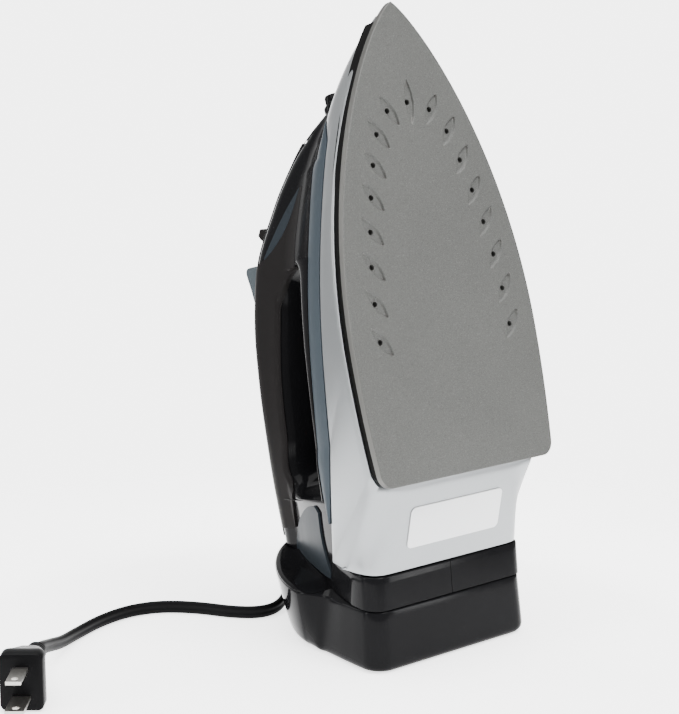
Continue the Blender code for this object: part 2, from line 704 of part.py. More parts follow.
def rear_high(s):
    return panel_low(s) - 1.0 - 4.0 * smoothstep(80, 60, s)


def make_side_covers(stance):
    grip_run = [s for s in (*GRIP_RUN, *FRONT_RUN) if s <= 233]
    front_run = [s for s in FRONT_RUN if 208 <= s <= 233]
    rear_run = [64, 68, 73, 78, 83, 87]
    for side, word in ((-1, "left"), (1, "right")):
        side_patch(f"grip_panel_{word}", side, grip_run, panel_low, panel_high, "grip", stance)
        side_patch(f"front_insert_{word}", side, front_run, insert_low, insert_high, "slate", stance, 4)
        side_patch(f"rear_insert_{word}", side, rear_run, rear_low, rear_high, "slate", stance, 4)


# ---------------------------------------------------------------- controls

def make_button(stance, side, word):
    """A wedge button with a foot under the cap, over its pump."""
    near, far = 0.5 * side, 9.4 * side
    x0, x1 = sorted((near, far))
    profile = [(182.0, 112.0), (182.0, 125.6), (201.0, 129.6), (204.4, 128.6), (204.4, 110.0),
               (210.5, 108.0), (210.5, 104.0), (196.0, 104.0), (194.0, 112.0)]
    rings = [[P(x, s, h) for s, h in profile] for x in (x0, x1)]
    button = loft(f"{word}_button", rings, "teal", stance)
    x = PUMP_X * side
    rod(f"{word}_plunger", P(x, PUMP_S, 103.7), P(x, PUMP_S, 86.0), 1.5, "steel", stance, 10)
    barrel = rod(f"{word}_pump", P(x, PUMP_S, 77.6), P(x, PUMP_S, 94.0), 4.6, "clear", stance, 14)
    cut(barrel, rod(f"{word}_bore_tool", P(x, PUMP_S, 79.6), P(x, PUMP_S, 96.0), 3.5, None, stance, 14),
        rod(f"{word}_inlet_tool", P(x, PUMP_S, 76.0), P(x, PUMP_S, 82.0), 1.0, None, stance, 8))
    coil = []
    turns, steps = 3.5, 28
    for k in range(steps + 1):
        a = 2 * math.pi * turns * k / steps
        coil.append(P(x + 3.0 * math.cos(a), PUMP_S + 3.0 * math.sin(a), 95.2 + 7.4 * k / steps))
    swept(f"{word}_spring", coil, 0.5, "steel", stance, 6)
    return button


def make_slider(stance):
    """The steam slider: a tab over its slot in the cap."""
    along = Vector((0, -0.80, 0.60))
    centre = Vector((0, 215.6, ridge(215.6)))
    up = Vector((0, 0.60, 0.80))
    corners = []
    for lift, half_run in ((0.9, 6.0), (2.2, 5.6)):
        corners += [centre + along * run + up * lift + Vector((x, 0, 0))
                    for x, run in ((-6, -half_run), (6, -half_run), (6, half_run), (-6, half_run))]
    base = block("steam_slider", [P(*c) for c in corners], "black", stance)
    tab = []
    for lift, half_run in ((1.5, 3.2), (8.2, 2.0)):
        tab += [centre + along * run + up * lift + Vector((x, 0, 0))
                for x, run in ((-5.4, -half_run), (5.4, -half_run), (5.4, half_run), (-5.4, half_run))]
    stem = []
    for lift in (-6.0, 1.4):
        stem += [centre + along * run + up * lift + Vector((x, 0, 0))
                 for x, run in ((-1.6, -1.6), (1.6, -1.6), (1.6, 1.6), (-1.6, 1.6))]
    join(base, block("slider_tab_tool", [P(*c) for c in tab], None, stance),
         block("slider_stem_tool", [P(*c) for c in stem], None, stance))


def make_fill_cover(stance):
    """The flap over the filling hole, with its hinge pin at the upper end."""
    stations = [240.2, 243.5, 247.5, 251.5, 255.4]
    outer = [[P(x, s, ridge(s) - 0.06 * x * x * 0.5) for x in (-6, -3, 0, 3, 6)] for s in stations]
    inner = [[P(x, s, ridge(s) - 0.06 * x * x * 0.5 - 1.8) for x in (-6, -3, 0, 3, 6)] for s in stations]
    patch("fill_cover", outer, inner, "black", stance)
    h = ridge(HINGE_S) - 1.0
    rod("fill_hinge_pin", P(-6.0, HINGE_S, h), P(6.0, HINGE_S, h), 0.5, "steel", stance, 8)


def make_nozzle(stance):
    tip = P(0, 273.6, 51.5)
    root = P(0, 262.0, 49.4)
    body = rod("spray_nozzle", root, tip, 4.2, "black", stance, 14, end_radius=2.6, bore=0.7)
    return body


# -------------------------------------------------------------------- heel

def egg_half(y):
    """Half width of the upper heel, from its front block to the handle's back."""
    run = clamp01((y + 40) / 101.0)
    return 47.3 * (1 - run ** 1.1) ** 0.72


def egg_outline(z, inset=0.0, spread=0.0, rows=12):
    """Right half of the upper heel's outline at a level, front centre to back."""
    front = FRONT_Y + FRONT_RAKE * z + inset
    half, corner = 47.2 - inset, 8.0
    points = [(0.3 if inset >= 0 else 0.0, front), (half - corner - 16, front)]
    points += [(half - corner + corner * math.sin(a), front + corner - corner * math.cos(a))
               for a in (math.pi / 2 * k / 4 for k in range(5))]
    for k in range(1, rows + 1):
        y = -40 + (61.0 + spread - inset + 40) * math.sin(0.5 * math.pi * k / rows)
        points.append((max(egg_half(y) - inset + spread * 0.4, 0.3), y))
    return points


def make_collar():
    """Left and right halves of the collar under the covers, a hair apart."""
    for side, word in ((-1, "left"), (1, "right")):
        outer, inner = [], []
        levels = [(COLLAR_LOW, 0.0), (33.0, 0.0), (38.0, 0.0), (COLLAR_TOP, 0.0)]
        for z, _ in levels:
            outer.append([Q(side * x, y, z) for x, y in egg_outline(z)])
            inner.append([Q(side * max(x, 0.3), y, z) for x, y in egg_outline(z, 2.2)])
        patch(f"collar_{word}", outer, inner, "black")


def lobe_outline(z, inset=0.0):
    """Right half of the heel base: front block, then the wider rear lobe."""
    front = FRONT_Y + FRONT_RAKE * z + inset
    half, corner = 48.4 - 0.05 * z - inset, 9.0
    rise = clamp01(z / BASE_TOP)
    wide, back = 46.6 + 6.4 * rise ** 0.8 - inset, 48.0 + 13.6 * rise ** 0.8 - inset
    points = [(0.0, front), (half - corner - 16, front)]
    points += [(half - corner + corner * math.sin(a), front + corner - corner * math.cos(a))
               for a in (math.pi / 2 * k / 4 for k in range(5))]
    points += [(half - 0.3, -30.0), (half - 1.0, -14.0 - 2 * rise), (half + (wide - half) * 0.6, -11.0)]
    for k in range(12):
        a = 0.5 * math.pi * k / 11
        points.append((wide * math.cos(a) ** (2 / 1.5), LOBE_Y + (back - LOBE_Y) * math.sin(a) ** (2 / 1.5)))
    return points


def mirrored(points):
    """A closed outline from its right half, whose ends lie on the centre line."""
    return points + [(-x, y) for x, y in reversed(points[1:-1])]


def make_heel():
    levels = [(1.2, 3.0), (2.2, 1.2), (5.0, 0.2), (12.0, 0.0), (20.0, 0.0), (26.6, 0.0), (BASE_TOP, 0.8)]
    base = loft("heel_base", [[Q(x, y, z) for x, y in mirrored(lobe_outline(z, inset))] for z, inset in levels],
                "black")
    hollow = loft("heel_hollow_tool", [[Q(x, y, z) for x, y in mirrored(lobe_outline(z, 3.4))]
                                       for z in (4.4, 24.6)], None)
    wire_hole = rod("wire_hole_tool", Q(0, 24, 20), Q(0, 24, 32), 9.0, None, None, 16)
    cord_bore = rod("cord_bore_tool", Q(5, 66.4, 14.4), Q(22, 42, 14.4), 3.4, None, None, 10)
    socket = loft("socket_tool", [[Q(x, y, z) for x, y in ((9, 42), (25, 36), (27, 50), (24, 64.0), (17, 70.0), (9, 70.5))]
                                  for z in (7.0, 21.5)], None)
    cut(join(base, socket), hollow, wire_hole, cord_bore)
    screw_ways = [rod(f"screw_way_tool_{k}", Q(x, y, -2), Q(x, y, 6), 2.4, None, None, 10)
                  for k, (x, y) in enumerate(HEEL_SCREWS)]
    cut(base, *screw_ways)
    plate = loft("heel_plate", [[Q(x, y, z) for x, y in mirrored(lobe_outline(2.0, inset))]
                                for z, inset in ((0.0, 14.0), (0.9, 13.0))], "black")
    cut(plate, *[rod(f"plate_hole_tool_{k}", Q(x, y, -2), Q(x, y, 3), 2.6, None, None, 10)
                 for k, (x, y) in enumerate(HEEL_SCREWS)])
    make_feet()


HEEL_SCREWS = ((0.0, -24.0),)


def disc_rings(place, x, y, levels, sides=10):
    """Rings of a small turned piece standing along the third coordinate."""
    return [[place(x + r * math.cos(a), y + r * math.sin(a), z)
             for a in (2 * math.pi * k / sides for k in range(sides))] for z, r in levels]


def make_feet():
    for side, word in ((-1, "left"), (1, "right")):
        rings = [[Q(side * 40.6 + (3.6 + grow) * math.cos(a), -20 + (27 if math.sin(a) > 0 else -27)
                    + (3.6 + grow) * math.sin(a), z) for a in (math.pi * (k + 0.5) / 6 for k in range(12))]
                 for z, grow in ((0.0, 0.0), (0.9, 0.5))]
        loft(f"heel_foot_{word}", rings, "rubber")


def turned(name, place, x, y, levels, finish, parent=None, sides=10):
    """A small turned piece standing along the third coordinate of its frame."""
    return loft(name, disc_rings(place, x, y, levels, sides), finish, parent)


def make_screws(stance):
    for x, y in HEEL_SCREWS:
        turned("heel_screw", Q, x, y, ((1.4, 1.7), (9.0, 1.5)), "steel")
    for x, word in ((-38, "left"), (38, "right")):
        turned(f"casting_screw_{word}", P, x, 120, ((9.9, 2.6), (12.0, 2.6), (19.6, 1.6)), "steel", stance)


# -------------------------------------------------------- wiring and cord

CORD_RADIUS = 3.0
PLUG_FACE = Vector((-187.0, 10.6, 12.9))
PLUG_OUT = Vector((-0.639, -0.769, 0.0))       # the way the blades point
CORD_ROUTE = [(-11.8, 54.6, 9.2), (-16.6, 50.0, 6.2), (-22.6, 45.0, 4.1), (-29.5, 41.2, 3.3),
              (-36.6, 40.2, 3.1), (-43.6, 42.8, 3.1), (-51.0, 50.6, 3.1), (-59.0, 63.4, 3.1),
              (-68.0, 73.6, 3.1), (-78.0, 79.6, 3.1), (-91.0, 81.6, 3.1), (-107.0, 78.4, 3.1),
              (-124.0, 70.6, 3.4), (-138.0, 61.0, 5.2), (-149.0, 52.4, 8.6), (-157.5, 44.9, 11.6),
              (-161.6, 41.2, 12.7)]


def smooth_route(points, spacing):
    """Evenly spaced points on a smooth curve through the route."""
    route = [Vector(p) for p in points]
    route = [route[0] * 2 - route[1]] + route + [route[-1] * 2 - route[-2]]
    dense = []
    for a, b, c, d in zip(route, route[1:], route[2:], route[3:]):
        for k in range(24):
            t = k / 24
            dense.append(0.5 * (2 * b + (c - a) * t + (2 * a - 5 * b + 4 * c - d) * t * t
                                + (3 * b - a - 3 * c + d) * t ** 3))
    dense.append(route[-2])
    picked, run = [dense[0]], 0.0
    for before, after in zip(dense, dense[1:]):
        run += (after - before).length
        if run >= spacing:
            picked.append(after)
            run = 0.0
    if (picked[-1] - dense[-1]).length < spacing * 0.5:
        picked.pop()
    return picked + [dense[-1]]


def make_cord():
    curve = bpy.data.curves.new("power_cord", "CURVE")
    curve.dimensions = "3D"
    curve.bevel_depth = CORD_RADIUS * MM
    curve.bevel_resolution = 2
    curve.use_fill_caps = True
    path = smooth_route(CORD_ROUTE, 7.0)
    line = curve.splines.new("POLY")
    line.points.add(len(path) - 1)
    for point, place in zip(line.points, path):
        point.co = (*(place * MM), 1.0)
    new_object("power_cord", curve, "rubber")
    start, aim = Vector(CORD_ROUTE[0]), (Vector(CORD_ROUTE[0]) - Vector(CORD_ROUTE[1])).normalized()
    root = Vector((8.6, 63.8, 14.4))
    middle = Vector((-2.6, 61.6, 12.4))
    tip = start + aim * GAP
    rings = []
    for centre, heading, radius in ((root, Vector((-1, 0, 0)), 5.4), ((root * 2 + middle) / 3, Vector((-1, 0, -0.2)), 5.0),
                                    (middle, Vector((-1, -0.3, -0.25)), 4.2), (tip, -aim, 3.5)):
        turn = heading.normalized().to_track_quat("Z", "Y").to_matrix()
        rings.append([(centre + turn @ Vector((math.cos(a), math.sin(a), 0)) * radius) * MM
                      for a in (2 * math.pi * k / 14 for k in range(14))])
    loft("cord_guard", rings, "rubber")
    make_plug()


def make_plug():
    """Flat two-blade plug lying on the floor, its ribbed neck on the cord."""
    side = Vector((-PLUG_OUT.y, PLUG_OUT.x, 0))
    up = Vector((0, 0, 1))

    def place(across, height, depth):
        return (PLUG_FACE + side * across + up * height - PLUG_OUT * depth) * MM

    def frame(half_wide, half_tall, depth, corner):
        pts = []
        for sx, sz, a0 in ((1, 1, 0), (-1, 1, 90), (-1, -1, 180), (1, -1, 270)):
            for k in range(4):
                a = math.radians(a0 + 30 * k)
                pts.append(place(sx * (half_wide - corner) + corner * math.cos(a),
                                 sz * (half_tall - corner) + corner * math.sin(a), depth))
        return pts

    body = loft("plug_body", [frame(8.6, 11.8, 0.0, 2.0), frame(9.2, 12.5, 0.8, 2.6), frame(9.2, 12.5, 7.0, 2.6),
                              frame(7.6, 11.0, 12.0, 3.6), frame(6.6, 9.0, 20.0, 4.0), frame(4.6, 5.4, 27.0, 4.0),
                              frame(4.0, 4.0, 39.0, 3.0)], "rubber")
    for height, wide, word in ((6.35, 6.35, "narrow"), (-6.35, 7.94, "wide")):
        rings = [[place(x, height + t, depth) for x, t in
                  ((-wide / 2, -0.75), (wide / 2, -0.75), (wide / 2, 0.75), (-wide / 2, 0.75))]
                 for depth in (-GAP, -12.0, -16.6)]
        blade = loft(f"plug_blade_{word}", rings, "steel")
        cut(blade, rod(f"blade_hole_{word}_tool", place(0, height + 3, -13.2), place(0, height - 3, -13.2), 1.6,
                       None, None, 10))
    return body


def make_wiring(stance):
    box("terminal_block", P, (-12, 66, 78), (12, 80, 92), "ceramic", stance)
    wires = swept("internal_wires", [Q(0, 24, 12), Q(0, 26, 20), Q(0, 24, 29), Q(0, 20, 36)], 2.6, "rubber", None)
    return wires


def main():
    for old in list(bpy.data.objects):
        bpy.data.objects.remove(old, do_unlink=True)
    stance = bpy.data.objects.new("stance", None)
    bpy.context.scene.collection.objects.link(stance)
    stance.rotation_euler = (math.radians(-90 - LEAN), 0, 0)
    stance.location = Q(0, -HEEL_CENTRE, 0)
    make_sole(stance)
    make_heating(stance)
    make_silver(stance)
    make_slate_strips(stance)
    make_tank(stance)
    make_steam_valve(stance)
    make_dial(stance)
    make_handle_core(stance)
    make_cap(stance)
    make_side_covers(stance)
    for side, word in ((-1, "spray"), (1, "burst")):
        make_button(stance, side, word)
    make_slider(stance)
    make_fill_cover(stance)
    make_nozzle(stance)
    make_collar()
    make_heel()
    make_screws(stance)
    make_cord()
    make_wiring(stance)


main()
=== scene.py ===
"""Looks of a steam iron standing on its heel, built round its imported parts.

The iron frame has x across, s along the sole towards the nose and h above the
sole.  The stand frame is the world: +Z up, the heel's resting face at z = 0.
Shapes are worked out in millimetres and turned to metres when a mesh is made.
"""
from __future__ import annotations

import logging
import math
from dataclasses import dataclass
from enum import Enum
from typing import Any, Sequence, Union

import bmesh
import bpy
import numpy as np
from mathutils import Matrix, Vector

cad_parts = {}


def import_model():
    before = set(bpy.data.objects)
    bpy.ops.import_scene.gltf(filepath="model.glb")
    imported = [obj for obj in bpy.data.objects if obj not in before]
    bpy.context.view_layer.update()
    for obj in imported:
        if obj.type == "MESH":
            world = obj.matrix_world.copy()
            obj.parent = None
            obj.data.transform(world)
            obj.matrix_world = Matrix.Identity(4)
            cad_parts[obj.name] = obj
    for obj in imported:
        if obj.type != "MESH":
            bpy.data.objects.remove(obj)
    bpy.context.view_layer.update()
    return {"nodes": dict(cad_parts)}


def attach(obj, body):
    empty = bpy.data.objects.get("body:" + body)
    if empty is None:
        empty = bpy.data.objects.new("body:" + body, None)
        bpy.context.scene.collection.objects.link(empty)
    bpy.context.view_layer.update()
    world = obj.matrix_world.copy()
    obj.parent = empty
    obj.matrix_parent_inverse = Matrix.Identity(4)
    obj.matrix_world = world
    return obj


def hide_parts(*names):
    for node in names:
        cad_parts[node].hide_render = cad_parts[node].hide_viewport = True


LOG = logging.getLogger("iron")
Array = np.ndarray
Object = bpy.types.Object
Material = bpy.types.Material

MM = 0.001
LEAN = math.radians(15.45)
HEEL_CENTRE = 88.0
ROOT = "iron"


class Side(Enum):
    """Left and right of the iron, as the sign of x."""

    LEFT = -1
    RIGHT = 1

    @property
    def word(self) -> str:
        """The side's word in a node's name."""
        return self.name.lower()


# ------------------------------------------------------------------ the form

def iron_to_stand(x: Array, s: Array, h: Array) -> Array:
    """Turn points of the iron frame into points of the stand frame, in mm.

    Args:
        x, s, h: Coordinates of one shape, or shapes that broadcast.

    Returns:
        An array of points whose last axis is x, y, z.
    """
    x, s, h = np.broadcast_arrays(np.asarray(x, float), np.asarray(s, float), np.asarray(h, float))
    y = s * math.sin(LEAN) + h * math.cos(LEAN) - HEEL_CENTRE
    z = s * math.cos(LEAN) - h * math.sin(LEAN)
    return np.stack([x, y, z], axis=-1)


def level_station(z: float, h: Array) -> Array:
    """Station where a level plane of the stand frame meets each height above the sole."""
    return (z + np.asarray(h, float) * math.sin(LEAN)) / math.cos(LEAN)


def clamp01(t: Array) -> Array:
    """Values kept between 0 and 1."""
    return np.clip(t, 0.0, 1.0)


def smoothstep(low: float, high: float, x: Array) -> Array:
    """Smooth rise from 0 at low to 1 at high: 3t^2 - 2t^3, where t runs from low to high."""
    t = clamp01((np.asarray(x, float) - low) / (high - low))
    return t * t * (3 - 2 * t)


def round_over(t: Array) -> Array:
    """Quarter round: the square root of 1 - (1 - t)^2, with t kept in 0 to 1."""
    return np.sqrt(np.clip(1 - (1 - clamp01(t)) ** 2, 0, 1))


@dataclass(frozen=True)
class Profile:
    """A smooth curve through design points, each span a cubic with shared slopes."""

    points: tuple

    def __call__(self, x: Array) -> Array:
        """Value of the curve: the Hermite cubic of the span that x lies in.

        Args:
            x: Places to read; those past the end points read the end points.

        Returns:
            The curve's value at each place.
        """
        xs, ys = np.array(sorted(self.points), float).T
        slopes = np.gradient(ys, xs)
        x = np.clip(np.asarray(x, float), xs[0], xs[-1])
        i = np.clip(np.searchsorted(xs, x, side="right") - 1, 0, len(xs) - 2)
        width = xs[i + 1] - xs[i]
        t = (x - xs[i]) / width
        return ((1 + 2 * t) * (1 - t) ** 2 * ys[i] + t * (1 - t) ** 2 * width * slopes[i]
                + t * t * (3 - 2 * t) * ys[i + 1] + t * t * (t - 1) * width * slopes[i + 1])


RIDGE = Profile(((69, 136), (99, 137), (121, 136.5), (145, 135), (180, 129), (207, 118), (225, 104.5),
                 (237, 94.5), (257, 70), (267, 50), (273, 37)))
UNDERSIDE = Profile(((88, 94), (91, 102), (97, 107), (119, 106), (150, 102), (172, 96), (186, 91),
                     (194, 85), (197.5, 78)))


@dataclass(frozen=True)
class IronForm:
    """Outlines and heights that the iron's covers share, in mm."""

    sole_half_width: float = 55.2
    sole_widest: float = 150.0
    sole_tip: float = 303.4
    sole_back: float = 90.8
    sole_thick: float = 3.0
    nose: float = 273.0
    front_wall: float = 197.5
    rear_wall: float = 87.6
    deck: float = 60.0
    grip_half: float = 16.0
    top_round: float = 13.5
    bottom_round: float = 9.0
    egg_width: float = 47.3

    def sole_half(self, s: Array) -> Array:
        """Half width of the sole: W(1 - u^2)^0.8 ahead of its widest place, a slow taper behind.

        Args:
            s: Stations.

        Returns:
            The half width at each station.
        """
        s = np.asarray(s, float)
        u = clamp01((s - self.sole_widest) / (self.sole_tip - self.sole_widest))
        ahead = self.sole_half_width * (1 - u * u) ** 0.8
        behind = self.sole_half_width * (1 - 0.0435 * ((self.sole_widest - s) / 50) ** 2)
        return np.where(s > self.sole_widest, ahead, behind)

    def silver_top(self, s: Array) -> Array:
        """Height of the silver cover's upper edge on the flank."""
        return 24.1 + 29.0 * clamp01((225 - np.asarray(s, float)) / 170) ** 1.7

    def band(self, s: Array) -> Array:
        """Share of the side strip's full width at a station, tapered at both ends."""
        s = np.asarray(s, float)
        return np.minimum(clamp01((s - 76) / 30), clamp01((257 - s) / 20)) ** 0.7

    def silver_half(self, s: Array) -> Array:
        """Half width of the silver cover's upper edge."""
        return self.sole_half(s) - 7 * clamp01((np.asarray(s, float) - 52) / 60)

    def base_half(self, s: Array) -> Array:
        """Half width of the black cover's lower edge, rounding in at the nose as (1 - t^2)^0.8.

        Args:
            s: Stations.

        Returns:
            The half width at each station.
        """
        s = np.asarray(s, float)
        t = clamp01((s - 240) / (self.nose + 1 - 240))
        return np.where(s <= 240, self.silver_half(s) - 5 * self.band(s), 27.4 * (1 - t * t) ** 0.8)

    def base_height(self, s: Array) -> Array:
        """Height of the black cover's lower edge: a half sine dip under the nose.

        Args:
            s: Stations.

        Returns:
            The height at each station.
        """
        s = np.asarray(s, float)
        nose = 37.5 - 5.4 * np.sin(np.pi * clamp01((s - 240) / 34))
        return np.where(s <= 240, self.silver_top(s) + 15.5 * self.band(s), nose)

    def silver_rim(self, s: Array) -> tuple[Array, Array]:
        """Half width and height of the silver cover's upper edge, blended to meet the nose.

        Args:
            s: Stations.

        Returns:
            The half widths and the heights.
        """
        mix = smoothstep(244, 262, s)
        return (self.silver_half(s) * (1 - mix) + (self.base_half(s) + 0.6) * mix,
                self.silver_top(s) * (1 - mix) + self.base_height(s) * mix)

    def seam(self, s: Array) -> Array:
        """Height of the seam between the tank cover and the handle's front."""
        return 66 + (235 - np.asarray(s, float)) * 0.29

    def cap_half(self, s: Array) -> Array:
        """Half width of the handle below its rounded top."""
        return self.grip_half - 10.0 * clamp01((np.asarray(s, float) - 205) / 68) ** 1.4

    def crown(self, s: Array, inset: float = 0.0) -> Array:
        """Height of the ridge moved in square to itself: lowered by inset times its slant length."""
        slope = (RIDGE(s + 1) - RIDGE(s - 1)) / 2
        return RIDGE(s) - inset * np.hypot(1.0, slope)

    def crown_radius(self, s: Array) -> Array:
        """Radius of the handle's rounded top, smaller where the nose is low."""
        return np.minimum(self.top_round, 0.9 * (RIDGE(s) - self.base_height(s)) + 0.1)

    def egg_half(self, run: Array) -> Array:
        """Half width of the egg-shaped column: W(1 - run^1.1)^0.72, run from 0 to 1."""
        return self.egg_width * (1 - run ** 1.1) ** 0.72

    def handle_side(self, s: Array, h: Array, inset: float = 0.0) -> Array:
        """Half width of the handle at a station and a height.

        The grip is a rounded bar; ahead of the opening it flares down to the tank,
        and behind the opening it swells into the egg-shaped heel column.

        Args:
            s: Stations.
            h: Heights above the sole.
            inset: How far the surface is moved in.

        Returns:
            Half widths, one for each station and height.
        """
        s, h = np.broadcast_arrays(np.asarray(s, float), np.asarray(h, float))
        top = round_over((self.crown(s, inset) - h) / np.maximum(self.crown_radius(s) - inset, 1.5))
        half = np.maximum(self.cap_half(s) - inset, 0.8)
        low = self.base_height(s)
        rise = clamp01((h - low) / np.maximum(RIDGE(s) - low, 1.0))
        flare = np.maximum(self.base_half(s) - self.cap_half(s), 0) * np.maximum(0, 1 - rise / 0.6) ** 1.5
        ahead = np.minimum(half * top + flare, np.maximum(self.base_half(s) - inset, 0.8))
        rounding = self.bottom_round - 7.0 * smoothstep(184, 196, s)
        grip = half * np.minimum(top, round_over((h - UNDERSIDE(s)) / rounding))
        fall = clamp01((h + inset - 35) / (RIDGE(s) - 35))
        egg = np.maximum(self.egg_half(fall) - inset, 0.0)
        behind = grip + (np.maximum(egg, grip) - grip) * smoothstep(100, self.rear_wall, s)
        return np.where(s > self.front_wall, ahead, behind)

    def outline(self, inset: float, back: float, tip: float, count: int = 90, corner: float = 6.0) -> Array:
        """The sole's outline moved in, as a closed loop of (x, s), right side first.

        Args:
            inset: How far the outline is moved in.
            back: Station of the straight rear edge.
            tip: Station of the tip.
            count: Points on each flank.
            corner: Radius of the rear corners.

        Returns:
            Points of the loop, each an x and a station.
        """
        run = np.sin(0.5 * np.pi * np.arange(count) / count)
        s = back + corner + (tip - back - corner) * run
        x = self.sole_half(s) * (1 - inset / self.sole_half_width) - 0.4 * inset * clamp01((s - 230) / 70)
        a = np.linspace(0, np.pi / 2, 9)[:-1]
        arc = np.stack([x[0] - corner + corner * np.sin(a), back + corner - corner * np.cos(a)], -1)
        right = np.concatenate([arc, np.stack([x, s], -1)])
        left = right[::-1] * np.array([-1, 1])
        return np.concatenate([right, [[0.0, tip]], left])


FORM = IronForm()


def resample(points: Sequence, count: int) -> Array:
    """A smooth curve through points, as evenly spaced samples.

    Each span is a Catmull-Rom cubic; the samples are then spaced by running length.

    Args:
        points: The points that the curve passes through.
        count: How many samples to return.

    Returns:
        The samples, with the points' own number of coordinates.
    """
    p = np.asarray(points, float)
    p = np.concatenate([[2 * p[0] - p[1]], p, [2 * p[-1] - p[-2]]])
    t = np.linspace(0, 1, 24, endpoint=False)[None, :, None]
    a, b, c, d = (p[i:len(p) - 3 + i, None, :] for i in range(4))
    dense = 0.5 * (2 * b + (c - a) * t + (2 * a - 5 * b + 4 * c - d) * t ** 2 + (3 * b - a - 3 * c + d) * t ** 3)
    dense = np.concatenate([dense.reshape(-1, p.shape[1]), p[-2:-1]])
    run = np.concatenate([[0], np.cumsum(np.linalg.norm(np.diff(dense, axis=0), axis=1))])
    where = np.linspace(0, run[-1], count)
    return np.stack([np.interp(where, run, dense[:, k]) for k in range(p.shape[1])], -1)


def turned_rings(start: Array, axis: Array, profile: Sequence[tuple[float, float]], sides: int) -> Array:
    """Spin a profile of (radius, distance) pairs about an axis.

    Args:
        start: Point on the axis, in mm.
        axis: Direction of the axis.
        profile: Radii with their distances from the start.
        sides: Points round each ring.

    Returns:
        One ring of points for each entry of the profile.
    """
    axis = np.asarray(axis, float) / np.linalg.norm(axis)
    across = np.cross(axis, [1.0, 0.0, 0.0] if abs(axis[0]) < 0.9 else [0.0, 1.0, 0.0])
    across /= np.linalg.norm(across)
    third = np.cross(axis, across)
    a = np.linspace(0, 2 * np.pi, sides, endpoint=False)[None, :, None]
    radius, run = (np.array(column, float)[:, None, None] for column in zip(*profile))
    return np.asarray(start, float) + run * axis + radius * (np.cos(a) * across + np.sin(a) * third)


def rounded_rectangle(half_x: float, half_y: float, corner: float, sides: int, turn: float = 0.01) -> Array:
    """A rectangle with round corners: sign(cos a)(half - r) + r cos a, and the same with sines.

    Args:
        half_x, half_y: Half lengths of its sides.
        corner: Radius r of its corners.
        sides: Points round it.
        turn: Where the angle starts, kept off the axes.

    Returns:
        The outline's points, each an x and a y.
    """
    a = np.linspace(0, 2 * np.pi, sides, endpoint=False) + turn
    return np.stack([np.sign(np.cos(a)) * (half_x - corner) + corner * np.cos(a),
                     np.sign(np.sin(a)) * (half_y - corner) + corner * np.sin(a)], -1)


def frames_along(path: Array) -> tuple[Array, Array]:
    """Level and upright unit vectors square to a path: its direction x up, and that x the direction.

    Args:
        path: Points of a path that is nowhere upright.

    Returns:
        The level vectors and the upright ones, one of each for each point.
    """
    ahead = np.gradient(path, axis=0)
    ahead /= np.linalg.norm(ahead, axis=1, keepdims=True)
    across = np.cross(ahead, [0.0, 0.0, 1.0])
    across /= np.linalg.norm(across, axis=1, keepdims=True)
    return across, np.cross(across, ahead)


# -------------------------------------------------------------- mesh making

def quads(rows: int, columns: int, wrap_rows: bool, wrap_columns: bool) -> Array:
    """Corner numbers of the faces of a grid whose points are stored row by row.

    Args:
        rows, columns: Size of the grid.
        wrap_rows: Whether the last row joins the first.
        wrap_columns: Whether the last column joins the first.

    Returns:
        Four corner numbers for each face.
    """
    r = np.arange(rows if wrap_rows else rows - 1)[:, None]
    c = np.arange(columns if wrap_columns else columns - 1)[None, :]
    r2, c2 = (r + 1) % rows, (c + 1) % columns
    corners = [r * columns + c, r * columns + c2, r2 * columns + c2, r2 * columns + c]
    return np.stack(np.broadcast_arrays(*corners), -1).reshape(-1, 4)


